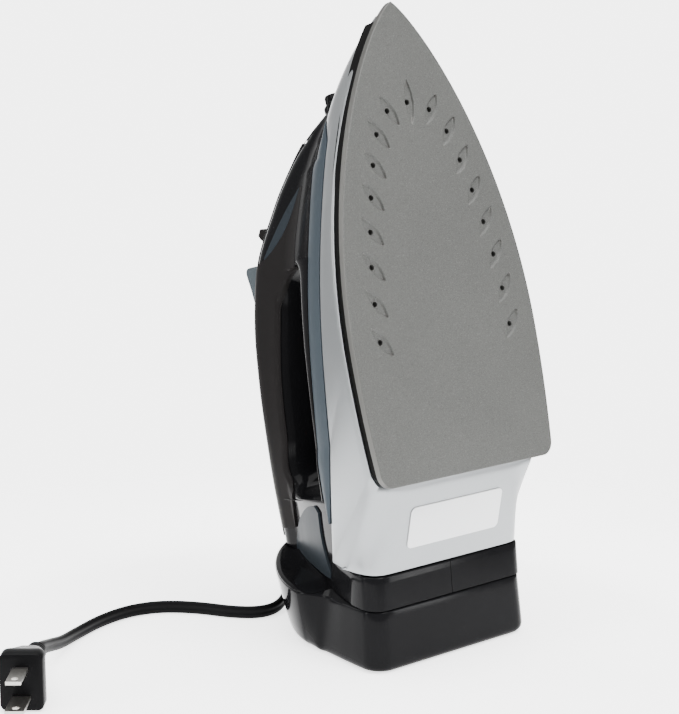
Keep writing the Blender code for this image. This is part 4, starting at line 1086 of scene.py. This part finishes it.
@dataclass
class Handle:
    """The handle: dark core, gloss cap, satin side panels and blue grey inserts."""

    maker: Maker
    finishes: Finishes
    seam_depth: float = 0.7
    skin: float = 1.2
    foot_level: float = 29.6

    def ring(self, s: Array, low: Array, inset: float, count: int = 44) -> Array:
        """Closed rings whose heights are eased by a cosine, so that they bunch at both ends.

        Args:
            s: Stations.
            low: Lowest height at each station.
            inset: How far the surface is moved in.
            count: Points on each half of a ring.

        Returns:
            Rings of points, each an x and a height.
        """
        crown = FORM.crown(s, inset)
        t = 0.5 - 0.5 * np.cos(np.linspace(0, np.pi, count))
        h = low[:, None] + (crown - low)[:, None] * t
        x = FORM.handle_side(s[:, None], h, inset)
        return np.stack([np.concatenate([x, -x[:, ::-1]], 1), np.concatenate([h, h[:, ::-1]], 1)], -1)

    def build(self) -> None:
        """Make the core, then the covers that lie on it."""
        self.core()
        self.cap()
        for side in Side:
            self.panel(side)
            self.front_insert(side)
            self.rear_insert(side)

    def core(self) -> None:
        """Column rings that start on a level plane, then the grip, then the front post."""
        inset, rows, column_end = self.seam_depth, 26, 87.4
        v = np.linspace(0, 1, rows)[:, None]
        column = self.ring(np.full(rows, column_end), np.full(rows, 46.0), inset)
        x, h = column[..., 0], column[..., 1]
        foot = level_station(self.foot_level, h)
        s = foot + (column_end - foot) * v
        half = FORM.handle_side(s, h, inset) * np.sign(x + 1e-12)
        rings = [iron_to_stand(half, s, h)]
        grip = 88.3 + 109.1 * (0.5 - 0.5 * np.cos(np.linspace(0, np.pi, 110)))
        post = np.linspace(198.0, 261.8, 64)
        for stations, low in ((grip, UNDERSIDE(grip)), (post, np.minimum(FORM.seam(post) + 0.3, RIDGE(post) - 1.4))):
            flat = self.ring(stations, low, inset)
            rings.append(iron_to_stand(flat[..., 0], stations[:, None], flat[..., 1]))
        body = self.maker.loft("handle_body", np.concatenate(rings), crease=48)
        self.maker.fit(body, self.finishes["gloss_black"], "gloss_black", "handle_core")

    def cap(self) -> None:
        """The gloss strip over the crown: circular arcs across, cut through for the controls."""
        s = np.linspace(70.0, 261.0, 190)
        reach = 0.80 - 0.10 * smoothstep(205, 255, s)
        t = np.sin(np.linspace(-1, 1, 33)[None, :] * np.arcsin(reach)[:, None])
        h = RIDGE(s)[:, None] - FORM.crown_radius(s)[:, None] * (1 - np.sqrt(1 - t ** 2))
        x = FORM.cap_half(s)[:, None] * t
        floor = level_station(self.foot_level + 0.3, h)
        grid = iron_to_stand(x, np.maximum(s[:, None], floor), h)
        strip = self.maker.shell("handle_cap_fine", grid, self.skin, (0, 20, 120), bevel=0.25)
        cutters = [self.well("button_well", (-9.9, 9.9), (181.4, 205.3), (100, 140)),
                   self.well("slider_well", (-2.2, 2.2), (209.5, 222.5), (95, 130)),
                   self.well("flap_well", (-6.4, 6.4), (239.0, 256.0), (50, 110))]
        for tool in cutters:
            change = strip.modifiers.new(tool.name, "BOOLEAN")
            change.operation, change.object = "DIFFERENCE", tool
        bpy.context.view_layer.update()
        graph = bpy.context.evaluated_depsgraph_get()
        cut = bpy.data.meshes.new_from_object(strip.evaluated_get(graph))
        strip.modifiers.clear()
        strip.data = cut
        for tool in cutters:
            bpy.data.objects.remove(tool)
        self.maker.fit(strip, self.finishes["gloss_black"], "gloss_black", "handle_cap")

    def well(self, name: str, x: tuple, s: tuple, h: tuple) -> Object:
        """A box of the iron frame used to cut a well.

        Args:
            name: Name of the box.
            x, s, h: Its ends across, along and above the sole.

        Returns:
            The box.
        """
        corners = [(a, b) for a, b in ((x[0], s[0]), (x[1], s[0]), (x[1], s[1]), (x[0], s[1]))]
        rings = np.stack([iron_to_stand([a for a, _ in corners], [b for _, b in corners], k) for k in h])
        return self.maker.loft(name, rings)

    def side_cover(self, name: str, side: Side, s: Array, h: Array, finish: str, node: str, lift: float) -> None:
        """A cover on the handle's flank over a grid of stations and heights.

        Args:
            name: Name of the piece.
            side: Which flank.
            s, h: Stations and heights of the grid.
            finish: Name of its finish.
            node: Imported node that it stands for.
            lift: How far it stands off the flank.
        """
        grid = iron_to_stand(side.value * (FORM.handle_side(s, h) + lift), s, h)
        piece = self.maker.shell(name, grid, self.skin, (0, grid[..., 1].mean(), grid[..., 2].mean()), bevel=0.25)
        slot = {"satin_grip": "grip", "dark_slate": "slate"}[finish]
        self.maker.fit(piece, self.finishes[finish], slot, node)

    @staticmethod
    def insert_edges(s: Array) -> tuple[Array, Array]:
        """Lower and upper edges of the lens-shaped insert."""
        run = clamp01((234.5 - np.asarray(s, float)) / 30)
        return 69.6 + 22.0 * run + 13.4 * run ** 4, 69.6 + 35.4 * run ** 0.83

    def panel(self, side: Side) -> None:
        """Satin panel: from its apex beside the nose, round the opening, to the column.

        Args:
            side: Which flank.
        """
        s = np.concatenate([np.linspace(74, 96, 30), np.linspace(97, 195, 70), np.linspace(195.6, 234.2, 60)])
        low = np.where(s > FORM.front_wall, FORM.seam(s) + 0.35,
                       UNDERSIDE(s) + 1.0 + 4.4 * smoothstep(196, 180, s))
        low = np.where(s < 92, UNDERSIDE(92) + 5.4 + (92 - s) * 0.35, low)
        insert_low, insert_high = self.insert_edges(s)
        crown = RIDGE(s) - 6.0
        high = np.where(s > 205, np.minimum(crown, insert_low - 0.3), crown)
        high = np.where((s > 203) & (s <= 205), crown + (np.minimum(crown, insert_low - 0.3) - crown) * (s - 203) / 2,
                        high)
        high = np.maximum(high, low + 0.3)
        t = 0.5 - 0.5 * np.cos(np.linspace(0, np.pi, 34))
        h = low[:, None] + (high - low)[:, None] * t[None, :]
        floor = level_station(self.foot_level + 0.6, h)
        stations = np.maximum(s[:, None], floor)
        self.side_cover(f"grip_panel_fine_{side.word}", side, stations, h, "satin_grip", f"grip_panel_{side.word}", 0)

    def front_insert(self, side: Side) -> None:
        """Blue grey lens between the panel and the cap, ruled from edge to edge.

        Args:
            side: Which flank.
        """
        s = np.linspace(205.4, 234.0, 60)
        low, high = self.insert_edges(s)
        t = np.linspace(0, 1, 18)
        h = low[:, None] + np.maximum(high - low, 0.2)[:, None] * t[None, :]
        self.side_cover(f"front_lens_{side.word}", side, s[:, None], h, "dark_slate",
                        f"front_insert_{side.word}", 0)

    def rear_insert(self, side: Side) -> None:
        """Leaf-shaped panel at the handle's foot: a Coons patch, both rulings less the corners' blend.

        Args:
            side: Which flank.
        """
        rows, columns = 44, 30
        bottom = resample([(51.6, 66.3), (52.9, 74.0), (56.3, 87.7), (60.0, 104.0), (63.4, 116.9)], rows)
        top = resample([(82.2, 68.2), (84.9, 71.6), (85.4, 75.3), (84.3, 85.4), (80.2, 97.2), (77.1, 103.7),
                        (69.1, 115.6)], rows)
        front = resample([(51.6, 66.3), (54.4, 65.0), (60.2, 67.6), (67.7, 69.6), (74.2, 69.6), (82.2, 68.2)], columns)
        back = resample([(63.4, 116.9), (66.2, 116.6), (69.1, 115.6)], columns)
        u, v = np.linspace(0, 1, rows)[:, None, None], np.linspace(0, 1, columns)[None, :, None]
        corners = (bottom[0] * (1 - u) * (1 - v) + bottom[-1] * u * (1 - v) + top[0] * (1 - u) * v + top[-1] * u * v)
        grid = bottom[:, None] * (1 - v) + top[:, None] * v + front[None] * (1 - u) + back[None] * u - corners
        self.side_cover(f"rear_leaf_{side.word}", side, grid[..., 0], grid[..., 1], "dark_slate",
                        f"rear_insert_{side.word}", 0.12)


# ------------------------------------------------------------------ controls

@dataclass
class Controls:
    """Dial, buttons, steam slider and filling flap."""

    maker: Maker
    finishes: Finishes
    dial_station: float = 152.0

    def build(self) -> None:
        """Make each control on its own body."""
        self.dial()
        for side, word in ((Side.LEFT, "spray"), (Side.RIGHT, "burst")):
            self.button(side, word)
        self.slider()
        self.flap()

    def dial(self) -> None:
        """A knurled disc with a finger bar: notches go in with the sixth power of a sine."""
        teeth = 36
        a = np.linspace(0, 2 * np.pi, teeth * 8, endpoint=False)
        notch = np.abs(np.sin(a * teeth / 2)) ** 6
        profile = [(22.4, 60.9, 0), (23.4, 61.1, 0.5), (24.0, 61.8, 1), (24.0, 66.2, 1), (23.6, 67.0, 0.7),
                   (22.4, 67.9, 0), (21.0, 68.2, 0), (18.2, 68.4, 0), (17.4, 68.0, 0), (16.8, 67.2, 0), (5.0, 67.0, 0),
                   (0.4, 67.0, 0)]
        rings = []
        for radius, h, depth in profile:
            r = radius - 0.7 * depth * notch
            rings.append(iron_to_stand(r * np.cos(a), self.dial_station + r * np.sin(a), h))
        disc = self.maker.loft("dial_disc", np.stack(rings), crease=36)
        self.maker.fit(disc, self.finishes["gloss_black"], "gloss_black", "temperature_dial", body="dial")
        bar = self.rounded_bar("dial_bar", (0, self.dial_station + 4.0), (2.2, 13.0), (66.6, 72.0), 1.1)
        self.maker.fit(bar, self.finishes["satin_grip"], "gloss_black", body="dial")
        mark = self.rounded_bar("dial_mark", (0, self.dial_station + 12.5), (0.6, 3.0), (71.8, 72.15), 0.4)
        self.maker.fit(mark, self.finishes["label_film"], "label", body="dial")

    def rounded_bar(self, name: str, centre: tuple, half: tuple, heights: tuple, corner: float) -> Object:
        """A bar with rounded corners, shrinking towards its top as a quarter circle does.

        Args:
            name: Name of the piece.
            centre: Its middle, an x and a station.
            half: Its half lengths across and along.
            heights: Its lowest and highest height.
            corner: Radius of its corners.

        Returns:
            The bar.
        """
        px, ps = rounded_rectangle(*half, corner, 40).T
        low, high = heights
        soft = min(corner, 0.5 * (high - low))
        levels = [(1.0, low), (1.0, high - soft)]
        levels += [(1 - (1 - math.cos(b)) * soft / half[0], high - soft + soft * math.sin(b))
                   for b in (0.4, 0.8, 1.2, math.pi / 2)]
        rings = [iron_to_stand(centre[0] + px * k, centre[1] + ps * (1 - (1 - k) * half[0] / half[1]), h)
                 for k, h in levels]
        return self.maker.loft(name, np.stack(rings), crease=40)

    def button(self, side: Side, word: str) -> None:
        """A wedge carried across the handle; its top dips by a half sine and rounds over at both ends.

        Args:
            side: Which side of the handle.
            word: Name of its body, and the start of its node's name.
        """
        count, near, far = 46, 0.45, 9.4
        outline = resample([(182.0, 112.0), (181.6, 119.0), (182.2, 125.4), (186.0, 126.6), (194.0, 128.2),
                            (201.0, 129.5), (203.6, 129.2), (204.5, 127.4), (204.4, 119.0), (204.4, 110.0)], count)
        foot = np.array([(210.5, 109.6), (210.5, 108.2), (196.0, 108.2), (194.0, 112.0)])
        loop = np.concatenate([outline, foot])
        x = np.linspace(near, far, 16)
        edge = np.minimum(x - near, far - x)
        drop = 0.7 * (1 - round_over(edge / 1.2)) + 0.35 * np.sin(np.pi * (x - near) / (far - near))
        inward = loop[:count] - loop.mean(0)
        inward /= np.linalg.norm(inward, axis=1, keepdims=True)
        rings = []
        for place, shrink in zip(x, drop):
            moved = loop.copy()
            moved[:count] -= inward * shrink
            rings.append(iron_to_stand(side.value * place, moved[:, 0], moved[:, 1]))
        piece = self.maker.loft(f"{word}_button_fine", np.stack(rings), crease=40)
        self.maker.fit(piece, self.finishes["button_teal"], "button", f"{word}_button", body=word)

    def slider(self) -> None:
        """A ribbed tab on a thin base, leaning with the handle's slope."""
        along, up = np.array([0.8, -0.6]), np.array([0.6, 0.8])
        centre = np.array([215.6, float(RIDGE(215.6))])

        def prism(name: str, half_x: float, steps: Sequence[tuple[float, float]]) -> Object:
            """Stack rounded rectangles.

            Args:
                name: Name of the piece.
                half_x: Half width across the handle.
                steps: Lift and half run of each rectangle.

            Returns:
                The piece.
            """
            rings = []
            for lift, half_run in steps:
                px, run = rounded_rectangle(half_x, half_run, 0.8, 32).T
                p = centre + run[:, None] * along + lift * up
                rings.append(iron_to_stand(px, p[:, 0], p[:, 1]))
            return self.maker.loft(name, np.stack(rings), crease=40, bevel=0.15)

        base = prism("slider_base", 6.0, ((0.9, 6.0), (1.9, 6.0), (2.2, 5.7)))
        self.maker.fit(base, self.finishes["gloss_black"], "gloss_black", "steam_slider", body="slider")
        tab = prism("slider_tab", 5.4, ((1.9, 3.4), (4.0, 2.7), (4.3, 3.0), (5.4, 2.6), (5.7, 2.9), (6.8, 2.4),
                                        (8.0, 2.2)))
        self.maker.fit(tab, self.finishes["satin_grip"], "gloss_black", body="slider")
        stem = prism("slider_stem", 1.6, ((-6.0, 1.5), (1.2, 1.5)))
        self.maker.fit(stem, self.finishes["gloss_black"], "gloss_black", body="slider")

    def flap(self) -> None:
        """The filling flap, crowned across by a square of x as the nose is."""
        s = np.linspace(240.2, 255.4, 40)
        x = np.linspace(-6.0, 6.0, 26)
        h = RIDGE(s)[:, None] - 0.03 * x[None, :] ** 2 + 0.15 * smoothstep(6.0, 5.2, np.abs(x))[None, :]
        grid = iron_to_stand(x[None, :], s[:, None], h)
        piece = self.maker.shell("fill_flap", grid, 1.5, (0, 0, 200), bevel=0.3)
        self.maker.fit(piece, self.finishes["gloss_black"], "gloss_black", "fill_cover", body="flap")


# ---------------------------------------------------------------------- heel

@dataclass
class Heel:
    """The collar in two halves and the heel base with its rounded rear lobe."""

    maker: Maker
    finishes: Finishes
    front_y: float = -55.3
    rake: float = 0.117
    base_top: float = 27.7
    lobe_y: float = -4.3

    @staticmethod
    def egg_half(y: Array) -> Array:
        """Half width of the upper heel, the column's egg from y = -40 to its back."""
        return FORM.egg_half(clamp01((np.asarray(y, float) + 40) / 101.0))

    def block(self, z: float, half: float, corner: float, inset: float) -> Array:
        """Flat front face and round front corner, from the centre line outwards.

        Args:
            z: Level, which moves the raked face.
            half: Half width of the block.
            corner: Radius of its front corner.
            inset: How far the face is moved in.

        Returns:
            Points, each an x and a y.
        """
        front = self.front_y + self.rake * z + inset
        a = np.linspace(0, np.pi / 2, 12)
        arc = np.stack([half - corner + corner * np.sin(a), front + corner - corner * np.cos(a)], -1)
        flat = np.stack([np.linspace(0.0, half - corner, 14)[:-1], np.full(13, front)], -1)
        return np.concatenate([flat, arc])

    def egg(self, z: float, inset: float = 0.0) -> Array:
        """Right half of the collar's outline at a level, front to back: the block, then the egg.

        Args:
            z: Level.
            inset: How far the outline is moved in.

        Returns:
            Points, each an x and a y.
        """
        y = -40 + (101.0 - inset) * np.sin(0.5 * np.pi * np.linspace(0, 1, 61))
        tuck = 1.2 * smoothstep(-20, -4, y)
        rear = np.stack([np.maximum(self.egg_half(y) - inset - tuck, 0.0), y], -1)
        return np.concatenate([self.block(z, 47.2 - inset, 8.0, inset), rear[1:]])

    def lobe(self, z: float, inset: float = 0.0) -> Array:
        """Right half of the base's outline: front block, crease, then a lobe of power 4/3 of sine and cosine.

        Args:
            z: Level.
            inset: How far the outline is moved in.

        Returns:
            Points, each an x and a y.
        """
        rise = float(clamp01(z / self.base_top))
        half = 48.4 - 0.05 * z - inset
        wide, back = 46.6 + 6.4 * rise ** 0.8 - inset, 48.0 + 13.6 * rise ** 0.8 - inset
        a = np.linspace(0, np.pi / 2, 60)
        ellipse = np.stack([wide * np.cos(a) ** (4 / 3), self.lobe_y + (back - self.lobe_y) * np.sin(a) ** (4 / 3)], -1)
        crease = resample([(half, -40.0), (half - 0.3, -30.0), (half - 0.9, -17.5 - 2 * rise),
                           (half + (wide - half) * 0.25, -13.5), (half + (wide - half) * 0.75, -9.0),
                           (wide - 0.1, self.lobe_y - 1.2)], 28)
        return np.concatenate([self.block(z, half, 9.0, inset), crease[1:], ellipse])

    @staticmethod
    def ring(half: Array, z: float) -> Array:
        """A closed level ring from a right half that starts and ends on the centre line."""
        left = half[1:-1][::-1] * np.array([-1, 1])
        whole = np.concatenate([half, left])
        return np.concatenate([whole, np.full((len(whole), 1), z)], 1)

    def build(self) -> None:
        """Make the base, the collar and its seam."""
        self.base()
        self.collar()

    def base(self) -> None:
        """Level rings: rounded foot, raked wall, soft rim, then a dished top inside the rim."""
        levels = [(0.5, 2.2), (0.9, 1.5), (1.6, 0.9), (2.6, 0.3), (4.4, 0.0), (9.0, 0.0), (14.0, 0.0), (19.0, 0.0),
                  (23.0, 0.0), (26.6, 0.0), (27.3, 0.08), (27.65, 0.35)]
        rings = [self.ring(self.lobe(z, inset), z) for z, inset in levels]
        body = self.maker.loft("heel_base_fine", np.stack(rings), crease=55)
        self.maker.fit(body, self.finishes["gloss_black"], "gloss_black", "heel_base")
        self.rim()
        self.boss()
        self.feet()

    def feet(self) -> None:
        """Two long rubber strips with round ends under the base."""
        radius, middle = 3.2, -24.0
        outline = rounded_rectangle(radius, 19.0 + radius, radius, 32)
        for side in Side:
            level = outline + np.array([side.value * 39.0, middle])
            rings = [np.concatenate([level, np.full((len(level), 1), z)], 1) for z in (0.0, 0.9)]
            strip = self.maker.loft(f"foot_strip_{side.word}", np.stack(rings))
            self.maker.fit(strip, self.finishes["gasket_black"], "foot_rubber", f"heel_foot_{side.word}")

    def boss(self) -> None:
        """The bulge at the back that the cord's guard enters, stacked from level outlines."""
        loop = resample([(9, 42), (20, 35), (27, 40), (28, 52), (25, 63), (18, 69.6), (10.5, 71.4), (8.6, 66),
                         (8.6, 54), (9, 42)], 60)[:-1]
        middle = np.array([18.0, 54.0])
        rings = []
        for z, shrink in ((5.5, 0.80), (6.2, 0.90), (7.8, 0.97), (10.0, 1.0), (19.0, 1.0), (20.8, 0.97), (22.0, 0.90),
                          (22.6, 0.80)):
            rings.append(np.concatenate([middle + (loop - middle) * shrink, np.full((len(loop), 1), z)], 1))
        lump = self.maker.loft("cord_boss", np.stack(rings), crease=50)
        self.maker.fit(lump, self.finishes["gloss_black"], "gloss_black")

    def rim(self) -> None:
        """The shelf round the column: sections ruled from the lobe to the egg, flat at their two ends."""
        count, under = 90, 27.75
        lobe, egg = self.lobe(self.base_top, 0.35), self.egg(29.0, -0.3)
        rear_lobe, rear_egg = lobe[lobe[:, 1] > -12], egg[egg[:, 1] > -12]
        outer, inner = resample(rear_lobe, count), resample(rear_egg, count)
        steps = [(0.0, under), (0.0, 28.3), (0.03, 28.9), (0.09, 29.2), (0.2, 28.9), (0.45, 28.75), (0.7, 28.9),
                 (0.88, 29.5), (1.0, 30.6), (1.04, 30.6), (1.04, under)]
        fade = smoothstep(0.0, 0.16, np.linspace(0, 1, count))
        fade = np.concatenate([fade, fade[:-1][::-1]])[:, None]
        rows = []
        for share, z in steps:
            half = outer * (1 - share) + inner * share
            whole = np.concatenate([half, half[:-1][::-1] * np.array([-1, 1])])
            rows.append(np.concatenate([whole, under + (z - under) * fade], 1))
        sections = np.stack(rows, 1)
        shelf = self.maker.loft("heel_shelf", sections, crease=50)
        self.maker.fit(shelf, self.finishes["gloss_black"], "gloss_black")

    def collar(self) -> None:
        """Two half collars that leave a hair-wide seam at the front."""
        z = np.array([28.05, 28.3, 31.0, 34.0, 37.0, 40.0, 42.4, 43.0, 43.3])
        lip = np.array([0.25, 0.0, 0, 0, 0, 0, 0.0, 0.12, 0.4])
        for side in Side:
            rows = []
            for level, inset in zip(z, lip):
                half = self.egg(float(level), float(inset))
                half[:, 0] = np.maximum(half[:, 0], 0.14)
                rows.append(np.concatenate([half * np.array([side.value, 1]), np.full((len(half), 1), level)], 1))
            piece = self.maker.shell(f"collar_fine_{side.word}", np.stack(rows), 1.8, (0, 0, 36))
            self.maker.fit(piece, self.finishes["gloss_black"], "gloss_black", f"collar_{side.word}")


# ------------------------------------------------------------ cord and plug

@dataclass
class Cord:
    """The flat two-core cord, its bend guard and the polarised plug."""

    maker: Maker
    finishes: Finishes
    width: float = 6.0
    thick: float = 3.4
    route: tuple = ((-11.8, 54.6, 9.2), (-16.6, 50.0, 6.2), (-22.6, 45.0, 4.1), (-29.5, 41.2, 3.3), (-36.6, 40.2, 3.1),
                    (-43.6, 42.8, 3.1), (-51.0, 50.6, 3.1), (-59.0, 63.4, 3.1), (-68.0, 73.6, 3.1), (-78.0, 79.6, 3.1),
                    (-91.0, 81.6, 3.1), (-107.0, 78.4, 3.1), (-124.0, 70.6, 3.4), (-138.0, 61.0, 5.2),
                    (-149.0, 52.4, 8.6), (-157.5, 44.9, 11.6), (-161.6, 41.2, 12.7))
    plug_face: tuple = (-187.0, 10.6, 12.9)
    plug_out: tuple = (-0.639, -0.769, 0.0)

    def build(self) -> None:
        """Make the plug and the guard, then the cord."""
        pieces = [self.plug(), self.guard()]
        path = resample(self.route, 150)
        flex = self.maker.loft("flat_cord", self.sweep(path), crease=50)
        self.maker.fit(flex, self.finishes["cord_black"], "cord_sheath", "power_cord")
        self.width * MM

    def sweep(self, path: Array) -> Array:
        """Carry a two-lobed section along the path, its wide side upright.

        The section is an ellipse with its sine raised to 0.62, pinched at its waist
        by a bell curve.

        Args:
            path: Points of the cord's centre line.

        Returns:
            One ring of points for each point of the path.
        """
        across, up = frames_along(path)
        a = np.linspace(0, 2 * np.pi, 28, endpoint=False)
        wide = 0.5 * self.width * np.cos(a)
        waist = 1 - 0.30 * np.exp(-(wide / 0.7) ** 2)
        tall = 0.5 * self.thick * np.abs(np.sin(a)) ** 0.62 * np.sign(np.sin(a)) * waist
        return path[:, None] + wide[None, :, None] * up[:, None] + tall[None, :, None] * across[:, None]

    def plug(self) -> Object:
        """A plug body of rounded rectangles, with grip steps and a tapered neck.

        Returns:
            The plug's body.
        """
        out = np.array(self.plug_out)
        side = np.array([-out[1], out[0], 0.0])
        face = np.array(self.plug_face)
        profile = [(8.3, 11.6, 0.0, 2.2), (8.9, 12.2, 0.35, 2.6), (9.2, 12.5, 1.0, 2.8), (9.2, 12.5, 7.0, 2.8),
                   (9.0, 12.3, 8.2, 3.0), (8.2, 11.6, 10.4, 3.4), (7.7, 11.1, 12.4, 3.8), (7.1, 10.2, 16.0, 4.2),
                   (6.6, 9.1, 20.0, 4.4), (5.7, 7.3, 23.8, 4.4), (4.9, 5.8, 27.0, 4.2)]
        for k in range(5):
            start = 28.0 + 2.2 * k
            size = 4.6 - 0.14 * k
            profile += [(size, size * 1.02, start, 3.4), (size, size * 1.02, start + 1.2, 3.4),
                        (size - 0.5, size - 0.5, start + 1.5, 3.0), (size - 0.5, size - 0.5, start + 2.0, 3.0)]
        rings = []
        for wide, tall, depth, corner in profile:
            x, y = rounded_rectangle(wide, tall, min(corner, wide - 0.2), 64, 0.02).T
            rings.append(face + x[:, None] * side + y[:, None] * np.array([0, 0, 1.0]) - out * depth)
        body = self.maker.loft("plug_body_fine", np.stack(rings), crease=34)
        return self.maker.fit(body, self.finishes["cord_black"], "cord_sheath", "plug_body")

    def guard(self) -> Object:
        """A tapered bend guard with ribs, its radius stepping with the sign of a sine.

        Returns:
            The guard.
        """
        count = 90
        line = resample([(8.6, 63.8, 14.4), (3.0, 63.2, 13.6), (-2.6, 61.4, 12.3), (-7.6, 58.2, 10.7),
                         (-11.5, 54.9, 9.3)], count)
        t = np.linspace(0, 1, count)
        ribs = 0.35 * (np.sin(t * 2 * np.pi * 8) > 0) * smoothstep(0.0, 0.15, t) * smoothstep(1.0, 0.9, t)
        radius = 5.3 - 2.0 * t - ribs
        across, up = frames_along(line)
        a = np.linspace(0, 2 * np.pi, 30, endpoint=False)[None, :, None]
        rings = line[:, None] + radius[:, None, None] * (np.cos(a) * across[:, None] + np.sin(a) * up[:, None])
        piece = self.maker.loft("bend_guard", rings, crease=40)
        return self.maker.fit(piece, self.finishes["cord_black"], "cord_sheath", "cord_guard")


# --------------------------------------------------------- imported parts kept

@dataclass
class KeptParts:
    """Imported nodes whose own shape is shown, given a proper finish."""

    nodes: dict[str, Object]
    finishes: Finishes
    looks: tuple = (
        ("cast_alloy", "heater_casting chamber_cover heat_shield"),
        ("steel", "heating_element thermal_fuse casting_screw_left casting_screw_right heel_screw dial_spindle "
                  "burst_plunger spray_plunger burst_spring spray_spring fill_hinge_pin"),
        ("nickel", "plug_blade_narrow plug_blade_wide"), ("brass", "valve_seat steam_needle"),
        ("red_silicone", "chamber_gasket tank_seal"), ("ceramic", "thermostat terminal_block"),
        ("clear_moulding", "tank_tray fill_funnel burst_pump spray_pump pump_tubes"),
        ("red_lens", "pilot_lens"), ("gloss_black", "heel_plate"),
        ("gasket_black", "internal_wires"))

    def build(self) -> None:
        """Put each finish into the nodes' own material slots."""
        for finish, names in self.looks:
            for name in names.split():
                for slot in self.nodes[name].material_slots:
                    slot.material = self.finishes[finish]
                LOG.info("%s: kept, in %s", name, finish)


# ------------------------------------------------------------ camera, stage

@dataclass
class Studio:
    """Camera, pale floor and soft lights."""

    place: tuple = (-511.3, -586.5, 276.5)
    azimuth: float = -39.74
    elevation: float = 10.68
    lens: float = 85.38
    dim: float = 0.8
    bright: float = 5.0
    floor_glow: float = 2.0
    cone: tuple = (0.90, 0.955)

    def camera(self) -> None:
        """A long-lens camera that looks slightly down at the iron's sole."""
        a, e = math.radians(self.azimuth), math.radians(self.elevation)
        back = Vector((math.sin(a) * math.cos(e), -math.cos(a) * math.cos(e), math.sin(e)))
        data = bpy.data.cameras.new("studio_camera")
        data.lens, data.sensor_width, data.clip_start = self.lens, 36.0, 0.02
        eye = bpy.data.objects.new("studio_camera", data)
        eye.location = Vector(self.place) * MM
        eye.rotation_euler = (-back).to_track_quat("-Z", "Y").to_euler()
        bpy.context.scene.collection.objects.link(eye)
        bpy.context.scene.camera = eye

    def panel_light(self, name: str, place: Sequence[float], aim: Sequence[float], size: tuple, power: float) -> None:
        """A rectangular soft light that faces a point.

        Args:
            name: Name of the light.
            place: Where it hangs, in metres.
            aim: Point that it faces.
            size: Its two sides, in metres.
            power: Its power in watts.
        """
        data = bpy.data.lights.new(name, "AREA")
        data.shape, data.size, data.size_y, data.energy = "RECTANGLE", size[0], size[1], power
        lamp = bpy.data.objects.new(name, data)
        lamp.location = place
        lamp.rotation_euler = (Vector(aim) - Vector(place)).to_track_quat("-Z", "Y").to_euler()
        bpy.context.scene.collection.objects.link(lamp)

    def floor(self) -> None:
        """A pale floor whose outer part fades away with distance from the iron."""
        floor = Maker().loft("studio_floor", np.array([
            [(-600, -600, z), (600, -600, z), (600, 600, z), (-600, 600, z)] for z in (-4.0, -0.05)]))
        r = Recipe("floor_white")
        away = r.node("ShaderNodeVectorMath", {"operation": "DISTANCE"},
                      {0: r.places, 1: (-0.06, -0.03, 0.0)}, "Value")
        floor.data.materials.append(r.surface({
            "Base Color": r.mix(r.noise(6.0, 2.0), (0.94, 0.94, 0.94), (0.95, 0.95, 0.95)),
            "Roughness": 0.8, "IOR": 1.05, "Alpha": 1.0 - r.ramp(away, 0.18, 0.42),
            "Emission Color": (1.0, 1.0, 1.0, 1.0), "Emission Strength": self.floor_glow}))

    def world(self) -> None:
        """A white backdrop in a cone behind the iron, dim all round: brightness follows direction . axis."""
        world = bpy.data.worlds.new("studio_world")
        nodes = Nodes(world)
        a, e = math.radians(self.azimuth), math.radians(self.elevation)
        axis = (-math.sin(a) * math.cos(e), math.cos(a) * math.cos(e), -math.sin(e))
        direction = nodes.node("ShaderNodeTexCoord", {}, {}, "Generated")
        facing = nodes.node("ShaderNodeVectorMath", {"operation": "DOT_PRODUCT"}, {0: direction, 1: axis}, "Value")
        outer, inner = self.cone
        strength = nodes.node("ShaderNodeMapRange", {}, {0: facing, 1: outer, 2: inner, 3: self.dim, 4: self.bright})
        colour_socket, strength_socket = nodes.tree.nodes["Background"].inputs[:2]
        nodes.feed(colour_socket, (1.0, 1.0, 1.0, 1.0))
        nodes.feed(strength_socket, strength)
        bpy.context.scene.world = world

    def build(self) -> None:
        """Make the floor, the backdrop and five panels: above, left, front, rear and low right."""
        self.floor()
        self.world()
        self.panel_light("top_panel", (0.1, -0.1, 2.2), (0.0, 0.0, 0), (3.0, 3.0), 150.0)
        self.panel_light("left_panel", (-1.25, 0.2, 0.45), (0, 0, 0.15), (0.22, 0.9), 10.0)
        self.panel_light("front_panel", (0.25, -1.15, 1.15), (0, 0, 0.12), (0.7, 0.7), 22.0)
        self.panel_light("rim_panel", (-0.8, 0.9, 0.6), (0, 0, 0.15), (0.15, 0.8), 4.0)
        self.panel_light("streak_panel", (0.66, -0.86, 0.16), (0, -0.05, 0.05), (0.07, 0.5), 2.2)


def main() -> None:
    """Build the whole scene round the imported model."""
    logging.basicConfig(level=logging.INFO, format="%(message)s")
    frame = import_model()
    maker, finishes, studio = Maker(), Finishes(), Studio()
    studio.camera()
    Cord(maker, finishes).build()
    SolePlate(maker, finishes).build()
    SilverCover(maker, finishes).build()
    SideStrips(maker, finishes).build()
    TankCover(maker, finishes).build()
    Handle(maker, finishes).build()
    Controls(maker, finishes).build()
    Heel(maker, finishes).build()
    KeptParts(frame["nodes"], finishes).build()
    studio.build()


if __name__ == "__main__":
    main()
